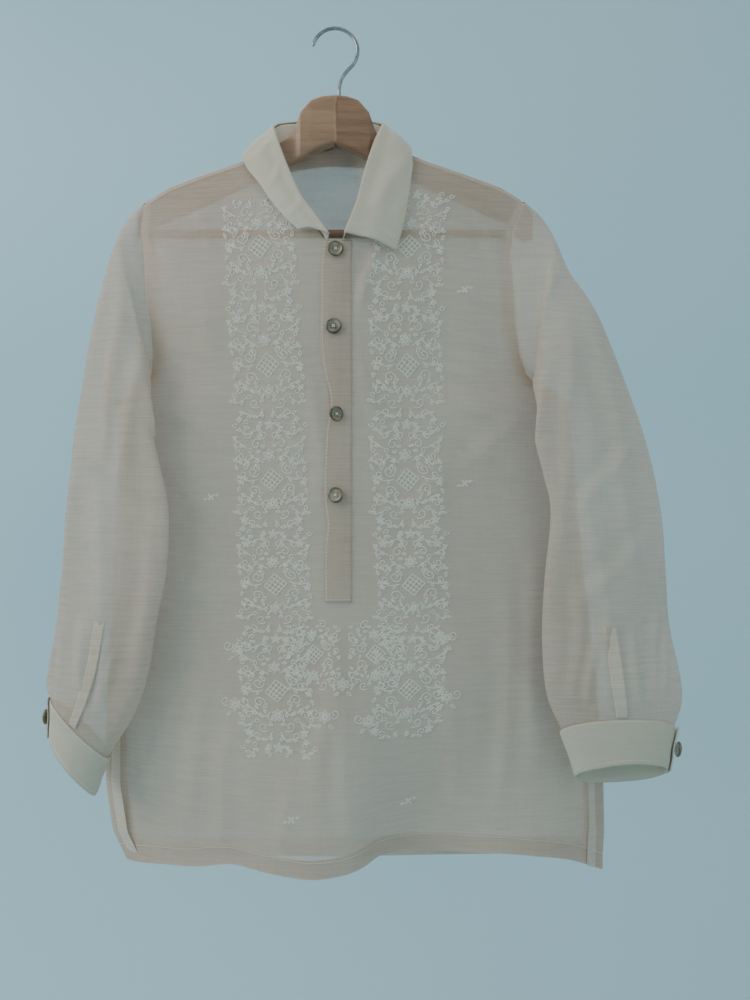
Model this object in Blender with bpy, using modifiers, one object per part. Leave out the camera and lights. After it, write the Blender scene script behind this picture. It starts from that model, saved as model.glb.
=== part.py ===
"""A sheer long-sleeved barong shirt that hangs on a wooden hanger.

The origin is the inside top of the hanger's hook. X runs to the viewer's right, Y away from
the viewer and Z up. Sizes below are in millimetres, and one factor turns them to metres.
"""

import math

import bpy
import mathutils
import numpy as np

MM = 0.001

# Cloth and seams
WALL = 1.2
DOUBLE_WALL = 1.6
SEAM_GAP = 0.3
LAY_ON = 1.7

# Body: the edge of both panels at each height, armhole first and side seam below it
BODY_COLUMNS = ("z", "left_x", "right_x", "edge_half_depth")
BODY_EDGES = (
    (-182, -202, 200, 8.5),
    (-210, -205, 188, 14.0),
    (-240, -201, 184, 17.0),
    (-290, -197, 188, 18.0),
    (-320, -193, 190, 16.0),
    (-345, -192, 195, 12.0),
    (-365, -195, 203, 7.5),
    (-382, -210, 222, 3.5),
    (-392, -224, 240, 1.6),
    (-399, -232, 250, 1.0),
    (-434, -233, 254, 0.9),
    (-500, -236, 260, 0.9),
    (-606, -240, 270, 0.9),
    (-640, -242, 274, 0.9),
    (-690, -244, 280, 3.4),
    (-740, -246, 284, 4.2),
    (-800, -246, 287, 5.0),
    (-850, -238, 288, 5.5),
    (-881, -222, 286, 6.0),
)
# Body: how far the middle of each panel stands from the mid plane
DEPTH_COLUMNS = ("z", "front", "back")
BODY_DEPTH = (
    (-90, 34, 30),
    (-240, 37, 31),
    (-340, 34, 30),
    (-440, 31, 28),
    (-545, 31, 27),
    (-640, 34, 26),
    (-760, 41, 25),
    (-880, 46, 24),
)
DEPTH_POWER = 2.4
# Shoulder: the top of the cloth over the hanger's arm
SHOULDER_COLUMNS = ("x", "z")
SHOULDER_LINE = (
    (0, -92),
    (45, -107),
    (60, -121),
    (80, -133),
    (97, -139.5),
    (142, -153.5),
    (176, -165),
    (202, -180),
    (222, -196),
)
SHOULDER_RADIUS = 8.5
SHOULDER_SEAM = 7.0
SHOULDER_SEAM_GAP = 1.2
SHOULDER_FALL = 60.0
NECK_FALL = 8.0
MID_PLANE_MIDDLE = -4.0
MID_PLANE_SWEEP = 18.0
HALF_SHOULDER = 250.0
# Front neckline, from the viewer's left over the middle to the right
NECK_COLUMNS = ("x", "z")
FRONT_NECK = ((-66, -127.6), (-59, -143), (-47, -172), (-34, -200), (-18, -222), (-4, -239),
              (11, -240), (28, -189), (41, -143), (52, -116.8))
# Back neckline: how far down the back the neck's edge lies, along the cloth from the shoulder's top
BACK_NECK_COLUMNS = ("x", "along")
BACK_NECK = ((-66, -7), (-62, 2), (-57, 12), (-50, 19), (-35, 24), (-8, 29), (19, 26.5), (33, 22), (39, 17),
             (43, 12), (47.5, 3), (52, -7))
# Front hem: height and depth of the wave along the edge
HEM_COLUMNS = ("x", "z", "y")
FRONT_HEM = (
    (-222, -881, 6),
    (-206, -880, -5),
    (-179, -876, -20),
    (-136, -872, -35),
    (-96, -867, -42),
    (-60, -873, -50),
    (-8, -875, -57),
    (29, -870, -45),
    (53, -863, -24),
    (76, -865, -10),
    (110, -867, -6),
    (143, -866, -12),
    (208, -870, -14),
    (250, -878, -5),
    (286, -893, 7),
)
BACK_HEM_HEIGHT = -884.0
HEM_WAVE_TOP = -640.0
HEM_BAND = 19.0
VENT_TOP = -680.0
VENT_FACING = 19.0
HEM_CLEAR = 0.6
HEM_LOOSE = 0.4
STRIP_WIDTH = 8.0
STRIP_LIFT = 1.9
# Long soft folds of the front, each a ridge towards the viewer
# Columns: top_x, top_z, foot_x, foot_z, width, height
FRONT_FOLDS = (
    (-120, -240, -150, -520, 26, 4.0),
    (135, -240, 165, -560, 24, 4.0),
    (120, -380, 90, -620, 20, 3.0),
    (-110, -560, -70, -760, 24, 3.5),
)
BACK_FOLDS = (
    (-60, -190, -95, -620, 28, 4.0),
    (70, -190, 100, -640, 28, 4.0),
    (5, -330, 12, -800, 30, 3.5),
)
FRONT_ROWS = (0, 6, 28, 58, 108, 138, 163, 183, 200, 210, 217, 252, 300, 355, 410, 465, 520, 570, 620, 662, 698)
BACK_ROWS = (0, 3.5, 7, 12, 17, 21, 46, 76, 126, 156, 181, 201, 218, 228, 235, 290, 360, 440, 520, 600, 660, 716)
FRONT_COLUMNS = 28
BACK_COLUMNS = 20

# Placket: the half opening at the middle of the front
PLACKET_LEFT = -8.5
PLACKET_WIDTH = 27.0
PLACKET_TOP = -243.0
PLACKET_FOOT = -602.0
SLIT_LEFT = 1.0
SLIT_RIGHT = 7.0
SLIT_FOOT = -560.0
UNDERLAP_LEFT = -6.0
UNDERLAP_WIDTH = 24.0
UNDERLAP_BEHIND = 2.2
PLACKET_ROWS = 18
PLACKET_WAVES = ((-262, -1.5), (-300, -3.0), (-330, -5.5), (-372, -1.5), (-398, 2.0), (-420, -1.0), (-500, -2.5))

# Buttons
# Columns: x, z, degrees turned about the upright
FRONT_BUTTONS = ((2.5, -244, 6), (0.5, -322, -4), (3.5, -411, 34), (2.5, -493, -18))
BUTTON_RADIUS = 8.0
BUTTON_THICKNESS = 2.6
BUTTON_SIDES = 16
BUTTON_GAP = 0.35

# Collar: roll line and outer edge, from the left front end round the back to the right
COLLAR_COLUMNS = ("roll_x", "roll_y", "roll_z", "edge_x", "edge_along", "stand_off", "neck_x", "neck_along")
COLLAR = (
    (-4, -46, -231, -35, -125, 6.0, -4, -150.5),
    (-18, -42, -211, -48, -107, 6.0, -18, -129),
    (-34, -37, -188, -65, -71, 5.0, -34, -101.5),
    (-47, -30, -158, -76, -47, 5.0, -47, -68),
    (-58, -19, -128, -90, -22, 5.5, -59, -28),
    (-62, -10, -113, -94, -12, 6.0, -63.5, -14),
    (-64, -2, -105, -96, -7, 6.0, -65.5, -5),
    (-65, 5, -101, -97, 0, 6.0, -64, 0),
    (-62, 12, -95, -94, 11, 6.0, -60, 9),
    (-55, 18, -91, -80, 25, 5.5, -52, 17),
    (-34, 23, -87, -42, 37, 5.0, -33, 23.5),
    (-8, 25, -86, -8, 43, 5.0, -8, 29),
    (18, 23, -87, 28, 39, 5.0, 18, 26.5),
    (38, 18, -90, 60, 25, 5.5, 37, 19.5),
    (46, 12, -94, 76, 11, 6.0, 44, 13),
    (49, 5, -98, 80, 0, 6.0, 47.5, 5),
    (49, -2, -103, 80.5, -7, 6.0, 49.5, -3),
    (47, -13, -113, 81, -13, 6.0, 48.5, -15),
    (41, -20, -131, 81, -25, 5.5, 40, -44),
    (32, -30, -163, 78, -52, 5.0, 32, -77),
    (24, -39, -197, 73, -87, 6.0, 24, -113),
    (12, -47, -231, 64, -127, 7.0, 11, -149),
)
COLLAR_ROWS = 5
COLLAR_LIFT = 5.0
ROLL_OUT = 2.6
ROLL_UP = 1.2
STAND_ROWS = 3
STAND_UNDER_ROLL = 2.1
STAND_FOOT_UP = 2.4
STAND_FOOT_IN = 2.6
NECK_CENTRE_X = -8.0

# Sleeves: the outer and inner edge of each ring under the armhole, down to the cuff's seam
# Columns: outer_x, outer_z, inner_x, inner_z, outer_y, inner_y, half_depth, tilt, lean
RIGHT_SLEEVE = (
    (221, -197, 239, -401, 8, -4, 17, 0, 28),
    (234, -221, 230, -400, 4, -14, 18, 0, 34),
    (247, -254, 223, -400, 0, -22, 17, 0, 33),
    (263, -279, 215, -400, -3, -30, 16, 0, 22),
    (280, -310, 206, -406, -5, -35, 15, 0, 8),
    (304, -371, 207, -426, -8, -36, 14, 0, 0),
    (327, -442, 213, -464, -12, -36, 14, 0, 0),
    (341, -512, 221, -511, -14, -37, 14, 0, 0),
    (345, -575, 215, -573, -16, -38, 15, 0, 0),
    (348, -628, 212, -626, -18, -38, 16, 1, 0),
    (358, -680, 214, -678, -22, -38, 18, 4, 0),
    (358, -707, 220, -705, -26, -37, 17, 9, 0),
    (350, -731, 233, -732, -28, -35, 15, 14, 0),
)
RIGHT_CUFF = (342, -777, 249, -780, -27, -35, 15, 14, 0)
LEFT_SLEEVE = (
    (-221, -197, -219, -401, 8, -4, 17, 0, 28),
    (-232, -219, -210, -400, 4, -14, 18, 0, 34),
    (-241, -250, -202, -399, 0, -22, 17, 0, 34),
    (-249, -286, -192, -398, -4, -31, 16, 0, 24),
    (-257, -330, -181, -402, -8, -38, 15, 0, 9),
    (-264, -375, -181, -418, -10, -41, 15, 0, 0),
    (-273, -436, -176, -452, -12, -43, 15, 0, 0),
    (-280, -507, -166, -508, -14, -44, 15, 0, 0),
    (-283, -569, -168, -569, -16, -44, 17, 0, 0),
    (-288, -618, -178, -620, -18, -43, 19, 0, 0),
    (-294, -662, -187, -674, -20, -42, 22, 2, 0),
    (-297, -688, -202, -716, -22, -41, 24, 4, 0),
    (-290, -702, -228, -757, -25, -39, 25, 6, 0),
)
LEFT_CUFF = (-290, -745, -243, -796, -26, -38, 24, 6, 0)
ARMHOLE_FRONT_ROWS = range(0, 11)
ARMHOLE_BACK_ROWS = range(4, 14)
SLEEVE_SIDES = 2 * len(ARMHOLE_FRONT_ROWS)
ARMHOLE_OUT = 1.5
UNDERARM_OUT = 1.8
# Below this height the first rings keep the armhole's own shape, moved out, forward and up
# Columns: share kept, out, forward, up, drop, drop of the lowest point, outward push of the back
UNDERARM_STEPS = ((1.0, 3, 2, 2, 0, 0, 3), (0.9, 3, 8, 1, 0, 2, 5), (0.6, -2, 17, -5, 4, 5, 7),
                  (0.12, -4, 22, -14, 16, 14, 13), (0.0, 0, 0, 0, 26, 20, 24), (0.0, 0, 0, 0, 19, 15, 20),
                  (0.0, 0, 0, 0, 6, 5, 8))
UNDERARM_BACK = 0.35
UNDERARM_TWIST = 0.85
UNDERARM_TOP = -330.0
UNDERARM_FADE = 36.0
ARMHOLE_TURN = -350.0
LAP_LIFT = 1.8
SLEEVE_FOLDS = 4
SLEEVE_FOLD_SHARE = 0.15
LAP_COLUMN = 4
LAP_SHARES = (0.25, 0.5, 0.75)
LAP_TOP_RING = 10
CUFF_START = -15.0
CUFF_STEP = 15.0
CUFF_SIDES = 27
CUFF_SEAM = 1.3
CUFF_STEP_OUT = 3.6
CUFF_BUTTON_TURN = 20.0
CUFF_BUTTON_LIFT = {"left": 3.6, "right": 4.7}

# Hanger: one half, from the mitre to the tip
# Columns: x, top_z, foot_z, half_thickness
HANGER_ARM = (
    (0, -73, -123.4, 9),
    (13, -74, -128, 9),
    (25, -78, -134, 9),
    (36, -90, -139.5, 8.0),
    (41, -104, -142, 5.8),
    (44, -112, -143.5, 5.4),
    (50, -116, -146, 5.6),
    (60, -121, -150, 6.5),
    (97, -140, -167, 6),
    (142, -154, -186, 6),
    (176, -166, -200, 6),
    (197.7, -178, -206, 6),
    (198.3, -179, -221, 6),
    (205, -186, -221, 5),
    (211, -193, -219, 3),
)
MITRE_X = 3.0
ARM_UNDER_CLOTH = 60.0
ARM_CLEARANCE = 2.6
ARM_BOSS_X = 197.7
HANGER_SECTION = ((-0.2, 0.0), (0.2, 0.0), (1.0, 1.0), (1.0, -0.7), (0.6, -0.05), (-0.6, -0.05), (-1.0, -0.7),
                  (-1.0, 1.0))
BAR_RADIUS = 4.5
BAR_Z = -214.0
BAR_Y = 7.0
HOOK_RADIUS = 24.0
HOOK_WIRE = 2.0
HOOK_TIP_TURN = 168.0
HOOK_END_TURN = -52.0
HOOK_POINTS = 16
STEM_X = 4.5
STEM_TOP = -58.0

PART_NAME = "barong_shirt_on_hanger"


def clear_scene():
    for item in list(bpy.data.objects):
        bpy.data.objects.remove(item, do_unlink=True)


def column(table, columns, name):
    return np.array([row[columns.index(name)] for row in table], float)


def smooth(at, xs, ys):
    """A curve through a table's points: a cubic in each span, with the slope between its neighbours."""
    xs, ys, at = np.asarray(xs, float), np.asarray(ys, float), np.asarray(at, float)
    if xs[0] > xs[-1]:
        xs, ys = xs[::-1], ys[::-1]
    at = np.clip(at, xs[0], xs[-1])
    slope = np.gradient(ys, xs)
    span = np.clip(np.searchsorted(xs, at, side="right") - 1, 0, len(xs) - 2)
    width = xs[span + 1] - xs[span]
    t = (at - xs[span]) / width
    start = (1 + 2 * t) * (1 - t) ** 2 * ys[span] + t * (1 - t) ** 2 * width * slope[span]
    return start + t**2 * (3 - 2 * t) * ys[span + 1] + t**2 * (t - 1) * width * slope[span + 1]


def body_edges(z):
    heights = column(BODY_EDGES, BODY_COLUMNS, "z")
    left = np.interp(-np.asarray(z), -heights, column(BODY_EDGES, BODY_COLUMNS, "left_x"))
    right = np.interp(-np.asarray(z), -heights, column(BODY_EDGES, BODY_COLUMNS, "right_x"))
    return left, right


def across(x, z):
    """How far x lies from the middle of the body to its edge, from -1 to 1."""
    left, right = body_edges(z)
    return np.clip((2 * x - left - right) / (right - left), -1, 1)


def mid_plane(x):
    return MID_PLANE_MIDDLE + MID_PLANE_SWEEP * np.clip(np.abs(x) / HALF_SHOULDER, 0, 1) ** 1.5


def ridge_height(x):
    return np.interp(np.abs(x), column(SHOULDER_LINE, SHOULDER_COLUMNS, "x"),
                     column(SHOULDER_LINE, SHOULDER_COLUMNS, "z"))


def fold_height(x, z, folds):
    """Each fold is a soft ridge across its line, and fades out at both ends."""
    total = np.zeros(np.broadcast(x, z).shape)
    for top_x, top_z, foot_x, foot_z, width, height in folds:
        along = np.clip((top_z - z) / (top_z - foot_z), 0, 1)
        middle = top_x + (foot_x - top_x) * along
        total = total + height * np.sin(np.pi * along) * np.exp(-(((x - middle) / width) ** 2))
    return total


def half_depth(x, z, side):
    """Distance of a panel from the mid plane: round over the arm, then out to the panel's own depth."""
    u = across(x, z)
    depths = smooth(z, column(BODY_DEPTH, DEPTH_COLUMNS, "z"), column(BODY_DEPTH, DEPTH_COLUMNS, side))
    edge = np.interp(-np.asarray(z), -column(BODY_EDGES, BODY_COLUMNS, "z"),
                     column(BODY_EDGES, BODY_COLUMNS, "edge_half_depth"))
    full = edge + (depths - edge) * (1 - np.abs(u) ** DEPTH_POWER) ** 0.9
    below = np.maximum(ridge_height(x) - z, 0)
    over = np.sqrt(np.clip(SHOULDER_RADIUS**2 - (SHOULDER_RADIUS - np.minimum(below, SHOULDER_RADIUS)) ** 2, 0, None))
    neck = np.clip((np.abs(x + 8) - 25) / 45, 0, 1) if side == "back" else 1.0
    fall = NECK_FALL + (SHOULDER_FALL - NECK_FALL) * neck**2 * (3 - 2 * neck)
    grown = 1 - np.exp(-np.maximum(below - SHOULDER_RADIUS, 0) / fall)
    return over + (full - SHOULDER_RADIUS) * grown


def front_y(x, z):
    """The front panel's surface, which blends into the hem's own wave at its foot."""
    x, z = np.asarray(x, float), np.asarray(z, float)
    drape = mid_plane(x) - half_depth(x, z, "front") - fold_height(x, z, FRONT_FOLDS) * (1 - across(x, z) ** 4)
    blend = np.clip((HEM_WAVE_TOP - z) / (HEM_WAVE_TOP + 875.0), 0, 1)
    blend = blend**2 * (3 - 2 * blend) * (1 - np.abs(across(x, z)) ** 12)
    wave = smooth(x, column(FRONT_HEM, HEM_COLUMNS, "x"), column(FRONT_HEM, HEM_COLUMNS, "y"))
    return drape * (1 - blend) + wave * blend


def back_y(x, z):
    x, z = np.asarray(x, float), np.asarray(z, float)
    return mid_plane(x) + half_depth(x, z, "back") + fold_height(x, z, BACK_FOLDS) * (1 - across(x, z) ** 4)


def front_foot(x):
    return smooth(x, column(FRONT_HEM, HEM_COLUMNS, "x"), column(FRONT_HEM, HEM_COLUMNS, "z"))


def material(name, colour, roughness, metallic=0.0):
    made = bpy.data.materials.get(name) or bpy.data.materials.new(name)
    made.use_nodes = True
    shader = made.node_tree.nodes["Principled BSDF"]
    shader.inputs["Base Color"].default_value = (*colour, 1.0)
    shader.inputs["Roughness"].default_value = roughness
    shader.inputs["Metallic"].default_value = metallic
    return made


def add_mesh(name, points, faces, finish):
    mesh = bpy.data.meshes.new(name)
    mesh.from_pydata((np.asarray(points, float).reshape(-1, 3) * MM).tolist(), [], faces)
    mesh.materials.append(finish)
    made = bpy.data.objects.new(name, mesh)
    PARTS.objects.link(made)
    return made


def sheet(name, grid, thickness, finish, ring=False, leave_out=None):
    """A wall of even thickness on a grid of points, open or closed into a ring of columns."""
    rows, columns, _ = grid.shape
    faces = []
    for row in range(rows - 1):
        for col in range(columns if ring else columns - 1):
            if leave_out and leave_out(row, col):
                continue
            right = (col + 1) % columns
            faces.append((row * columns + col, row * columns + right,
                          (row + 1) * columns + right, (row + 1) * columns + col))
    made = add_mesh(name, grid, faces, finish)
    wall = made.modifiers.new("wall", "SOLIDIFY")
    wall.thickness = thickness * MM
    wall.offset = 0
    return made


def with_columns(u, extra):
    """The even columns, with extra ones in place of any that lie close to them."""
    keep = [value for value in u if min(abs(value - other) for other in extra) > 0.02]
    return np.sort(np.concatenate([keep, extra]))


def body_x(u, z):
    left, right = body_edges(z)
    return (left + right) / 2 + u * (right - left) / 2


def front_columns():
    neck_u = across(column(FRONT_NECK, NECK_COLUMNS, "x"), column(FRONT_NECK, NECK_COLUMNS, "z"))
    slit = [across(SLIT_LEFT, SLIT_FOOT), across(SLIT_RIGHT, SLIT_FOOT)]
    even = [value for value in np.linspace(-1, 1, FRONT_COLUMNS) if not neck_u[0] < value < neck_u[-1]]
    return with_columns(even, [*slit, *neck_u]), neck_u, slit


def front_grid():
    """The front's points: columns from side to side, each from its top edge down to the hem."""
    u, neck_u, _ = front_columns()
    seam_turn = (SHOULDER_SEAM + SHOULDER_SEAM_GAP) / SHOULDER_RADIUS
    top = ridge_height(body_x(u, -150.0)) - SHOULDER_RADIUS * (1 - math.cos(seam_turn))
    in_neck = (u > neck_u[0]) & (u < neck_u[-1])
    top = np.where(in_neck, np.interp(u, neck_u, column(FRONT_NECK, NECK_COLUMNS, "z")), top)
    foot = front_foot(body_x(u, BODY_EDGES[-1][0]))
    share = np.array(FRONT_ROWS) / FRONT_ROWS[-1]
    z = top + share[:, None] * (foot - top)
    x = body_x(u, z)
    return np.stack([x, front_y(x, z), z], axis=2)


def path_point(x, along, off=0.0):
    """A point of the shirt at a length of cloth from the shoulder's top: minus to the front, plus to the back."""
    x, along = np.asarray(x, float), np.asarray(along, float)
    ridge = ridge_height(x)
    quarter = SHOULDER_RADIUS * math.pi / 2
    turn = np.clip(along / SHOULDER_RADIUS, -math.pi / 2, math.pi / 2)
    lift = SHOULDER_RADIUS + off
    hang = np.maximum(np.abs(along) - quarter, 0)
    z_low = ridge - SHOULDER_RADIUS - hang
    y_low = np.where(along < 0, front_y(x, z_low) - off, back_y(x, z_low) + off)
    y = np.where(hang > 0, y_low, mid_plane(x) + lift * np.sin(turn))
    z = np.where(hang > 0, z_low, ridge - SHOULDER_RADIUS + lift * np.cos(turn))
    return np.stack([x + 0 * z, y, z], axis=-1)


def back_columns():
    neck_x = column(BACK_NECK, BACK_NECK_COLUMNS, "x")
    neck_u = across(neck_x, -150.0)
    even = [value for value in np.linspace(-1, 1, BACK_COLUMNS) if not neck_u[0] < value < neck_u[-1]]
    return with_columns(even, neck_u), neck_u


def back_grid():
    """The back's points: rows follow the cloth's length over the shoulder and down the back."""
    u, neck_u = back_columns()
    in_neck = (u > neck_u[0]) & (u < neck_u[-1])
    neck_start = np.interp(u, neck_u, column(BACK_NECK, BACK_NECK_COLUMNS, "along"))
    start = np.where(in_neck, neck_start, -SHOULDER_SEAM)
    ridge = ridge_height(body_x(u, -150.0))
    quarter = SHOULDER_RADIUS * math.pi / 2
    length = quarter + ridge - SHOULDER_RADIUS - BACK_HEM_HEIGHT
    share = np.array(BACK_ROWS) / BACK_ROWS[-1]
    along = start + share[:, None] * (length - start)
    turn = np.clip(along / SHOULDER_RADIUS, -math.pi / 2, math.pi / 2)
    hang = np.maximum(along - quarter, 0)
    z = np.where(hang > 0, ridge - SHOULDER_RADIUS - hang, ridge - SHOULDER_RADIUS * (1 - np.cos(turn)))
    x = body_x(u, z)
    y = np.where(hang > 0, back_y(x, z), mid_plane(x) + SHOULDER_RADIUS * np.sin(turn))
    return np.stack([x, y, z], axis=2)


def panels(front, back):
    """Two columns bound the front's slit, which is left open down to its foot."""
    u, _, slit = front_columns()
    slit_column = int(np.argmin(np.abs(u - slit[0])))
    slit_rows = int(np.argmax(front[:, slit_column, 2] < SLIT_FOOT))
    sheet("front_panel", front, WALL, CLOTH, leave_out=lambda row, col: col == slit_column and row < slit_rows)
    sheet("back_panel", back, WALL, CLOTH)


def shoulder_strips():
    """The felled shoulder seam: a narrow strip that lies on the cloth just in front of the shoulder's top."""
    x = body_x(back_columns()[0], -150.0)
    along = -(SHOULDER_SEAM + STRIP_WIDTH * np.array([0.5, 0, -0.5]))[:, None]
    for name, here in (("left", (x < -67) & (x > -201)), ("right", (x > 51) & (x < 199))):
        sheet("shoulder_seam_" + name, path_point(x[here], along, STRIP_LIFT), WALL, CLOTH)


def placket():
    """The overlap lies on the front and the underlap behind it, both down to the foot of the opening."""
    z = np.linspace(PLACKET_TOP, PLACKET_FOOT, PLACKET_ROWS)
    waves = np.array(PLACKET_WAVES)
    left = PLACKET_LEFT + np.interp(-z, -waves[:, 0], waves[:, 1], left=0, right=0)
    for name, edge, width, out in (
        ("placket_overlap", left, PLACKET_WIDTH, -LAY_ON),
        ("placket_underlap", np.full(len(z), UNDERLAP_LEFT), UNDERLAP_WIDTH, UNDERLAP_BEHIND),
    ):
        right = PLACKET_LEFT + PLACKET_WIDTH if out < 0 else UNDERLAP_LEFT + width
        x = edge[:, None] + (right - edge[:, None]) * np.linspace(0, 1, 4)
        deep = np.broadcast_to(z[:, None], x.shape)
        sheet(name, np.stack([x, front_y(x, deep) + out, deep], axis=2), WALL, DOUBLE_CLOTH)


def hem_bands(front, back):
    """The turned hems lie inside the panels, made from their last row of points."""
    for name, grid, inward in (("front_hem", front, LAY_ON), ("back_hem", back, -LAY_ON)):
        up = grid[-2] - grid[-1]
        height = np.abs(up[:, 2])
        share = np.array([HEM_BAND, HEM_CLEAR])[:, None] / height
        steep = np.hypot(1, np.gradient(grid[-1, :, 1]) / np.gradient(grid[-1, :, 0]))
        step_in = np.stack([0 * steep, inward * steep + math.copysign(HEM_LOOSE, inward) + 0 * steep, 0 * steep], axis=1)
        sheet(name, grid[-1] + up * share[:, :, None] + step_in, WALL, CLOTH)


def vent_facings(front, back):
    """A turned strip backs each side of both vents, made from the panels' outermost columns."""
    for panel, grid, inward in (("front", front, LAY_ON), ("back", back, -LAY_ON)):
        for name, columns in (("left", slice(0, 2)), ("right", slice(-2, None))):
            strip = grid[:-1, columns]
            strip = strip[strip[:, :, 2].min(axis=1) < VENT_TOP]
            sheet("vent_facing_%s_%s" % (panel, name), strip + (0, inward, 0), WALL, CLOTH)


def collar():
    """The fall rolls over from the stand's top and arches out to its edge. The stand drops to the neck's edge."""
    roll = np.stack([column(COLLAR, COLLAR_COLUMNS, "roll_" + axis) for axis in "xyz"], axis=1)
    edge = path_point(column(COLLAR, COLLAR_COLUMNS, "edge_x"), column(COLLAR, COLLAR_COLUMNS, "edge_along"),
                      column(COLLAR, COLLAR_COLUMNS, "stand_off"))
    away = edge - roll
    away[:, 2] = 0
    away /= np.linalg.norm(away, axis=1)[:, None]
    up = np.array([0, 0, 1.0])
    facing = np.clip(roll[:, 1] / 20, -1, 1)[:, None]
    outward = facing * np.array([0, 1.0, 0])
    over = outward + away * (1 - 0.7 * np.abs(facing))
    over /= np.linalg.norm(over, axis=1)[:, None]
    arch = away * 0.2 + up * 0.6 + outward * 0.75
    rows = [roll, roll + over * ROLL_OUT + up * ROLL_UP]
    for share in np.linspace(0, 1, COLLAR_ROWS)[1:]:
        rows.append(roll + (edge - roll) * share + arch * COLLAR_LIFT * math.sin(math.pi * share))
    sheet("collar_fall", np.array(rows), DOUBLE_WALL, COLLAR_CLOTH)
    foot = path_point(column(COLLAR, COLLAR_COLUMNS, "neck_x"), column(COLLAR, COLLAR_COLUMNS, "neck_along"))
    along = column(COLLAR, COLLAR_COLUMNS, "neck_along")[:, None]
    clear = np.clip((np.abs(along) - 5) / 14, 0, 1)
    inward = np.array([NECK_CENTRE_X, 0, 0]) - foot * (1, 0, 0)
    inward /= np.linalg.norm(inward, axis=1)[:, None] + 1
    inward[along[:, 0] > 0, 1] = -1
    foot = foot + up * (STAND_FOOT_UP + clear) + inward * STAND_FOOT_IN * clear
    down = (foot - roll) / np.linalg.norm(foot - roll, axis=1)[:, None]
    top = roll + down * STAND_UNDER_ROLL - over * 0.5
    share = np.linspace(0, 1, STAND_ROWS)[:, None, None]
    sheet("collar_stand", top + (foot - top) * share, WALL, COLLAR_CLOTH)


def ring(row, turn, grown=0.0):
    """One ring of a sleeve or cuff: an ellipse from its outer edge round the front to its inner edge."""
    outer_x, outer_z, inner_x, inner_z, outer_y, inner_y, deep, tilt, lean = row
    cosine, sine = np.cos(turn), np.sin(turn)
    long_half = math.hypot(outer_x - inner_x, outer_z - inner_z) / 2
    long_share = (long_half + grown) / long_half
    x = (outer_x + inner_x) / 2 + (outer_x - inner_x) / 2 * cosine * long_share
    x = x - math.copysign(lean, outer_x) * sine * (1 - cosine) / 2
    y = (outer_y + inner_y) / 2 + (outer_y - inner_y) / 2 * cosine - (deep + grown) * sine
    z = (outer_z + inner_z) / 2 + (outer_z - inner_z) / 2 * cosine * long_share + tilt * sine
    return np.stack([x, y, z], axis=1)


def armhole(side, front, back):
    """The seam line round the armhole, just outside the panels' own edges: over the tip, down, and up the back."""
    edge = 0 if side < 0 else -1
    tip = path_point(front[0, edge, 0], 0.0)
    down = front[list(ARMHOLE_FRONT_ROWS), edge]
    up = back[list(ARMHOLE_BACK_ROWS), edge][::-1]
    loop = np.concatenate([[tip], down, up])
    loop[len(down), 1] = mid_plane(loop[len(down), 0])
    step = np.roll(loop, -1, axis=0) - np.roll(loop, 1, axis=0)
    out = np.stack([np.abs(step[:, 2]), 0 * step[:, 0], np.abs(step[:, 0])], axis=1)
    out[0] = (1, 0, 0)
    out[len(down)] = (1, 0, 0.5)
    out /= np.linalg.norm(out, axis=1)[:, None]
    out[:, 2] *= loop[:, 2] < ARMHOLE_TURN
    out[len(down)] *= UNDERARM_OUT
    out[:, 0] *= side
    return loop + out * ARMHOLE_OUT


def sleeve_rings(side, table, front, back):
    turn = np.linspace(0, 2 * np.pi, SLEEVE_SIDES, endpoint=False)
    turn = turn + UNDERARM_TWIST * np.sin(turn / 2) ** 2
    rings = [armhole(side, front, back)]
    tip = np.exp(-(((np.arange(SLEEVE_SIDES) - SLEEVE_SIDES / 2 - 0.5) / 1.6) ** 2))[:, None]
    behind = np.clip((np.arange(SLEEVE_SIDES) - SLEEVE_SIDES / 2) / 1.2, 0, 1)[:, None]
    for index, row in enumerate(table):
        points = ring(row, turn)
        fade = np.clip((index - 3) / 3, 0, 1) * np.clip((len(table) - 1 - index) / 2, 0, 1)
        wave = SLEEVE_FOLD_SHARE * row[6] * fade * np.sin(SLEEVE_FOLDS * turn + 0.9 + 0.12 * index)
        points[:, 1] -= wave * np.sin(turn)
        if index < len(UNDERARM_STEPS):
            share, out, forward, up, drop, tip_drop, back_out = UNDERARM_STEPS[index]
            low = np.clip((UNDERARM_TOP - rings[0][:, 2]) / UNDERARM_FADE, 0, 1)
            low = (low**2 * (3 - 2 * low))[:, None]
            points = points * (1 - low * share) + (rings[0] + (side * out, -forward, up)) * low * share
            points = points - low * (0, 0, drop) - tip * (0, 0, tip_drop)
            points = points + low * behind * (side * back_out, UNDERARM_BACK * back_out, 0)
        rings.append(points)
    return np.array(rings)


def sleeve_lap(name, rings):
    """The narrow lap of the sleeve's slit lies within one column of the sleeve's front."""
    inner, outer = rings[LAP_TOP_RING:, LAP_COLUMN], rings[LAP_TOP_RING:, LAP_COLUMN + 1]
    share = np.array(LAP_SHARES)[None, :, None]
    strip = inner[:, None] + (outer - inner)[:, None] * share
    strip[-1] += (strip[-2] - strip[-1]) * 0.05
    down = strip[-1, 1] - strip[0, 1]
    out = np.cross(outer[0] - inner[0], down)
    out *= -np.sign(out[1]) / np.linalg.norm(out)
    sheet("sleeve_lap_" + name, strip + out * LAP_LIFT, WALL, CLOTH)


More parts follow.
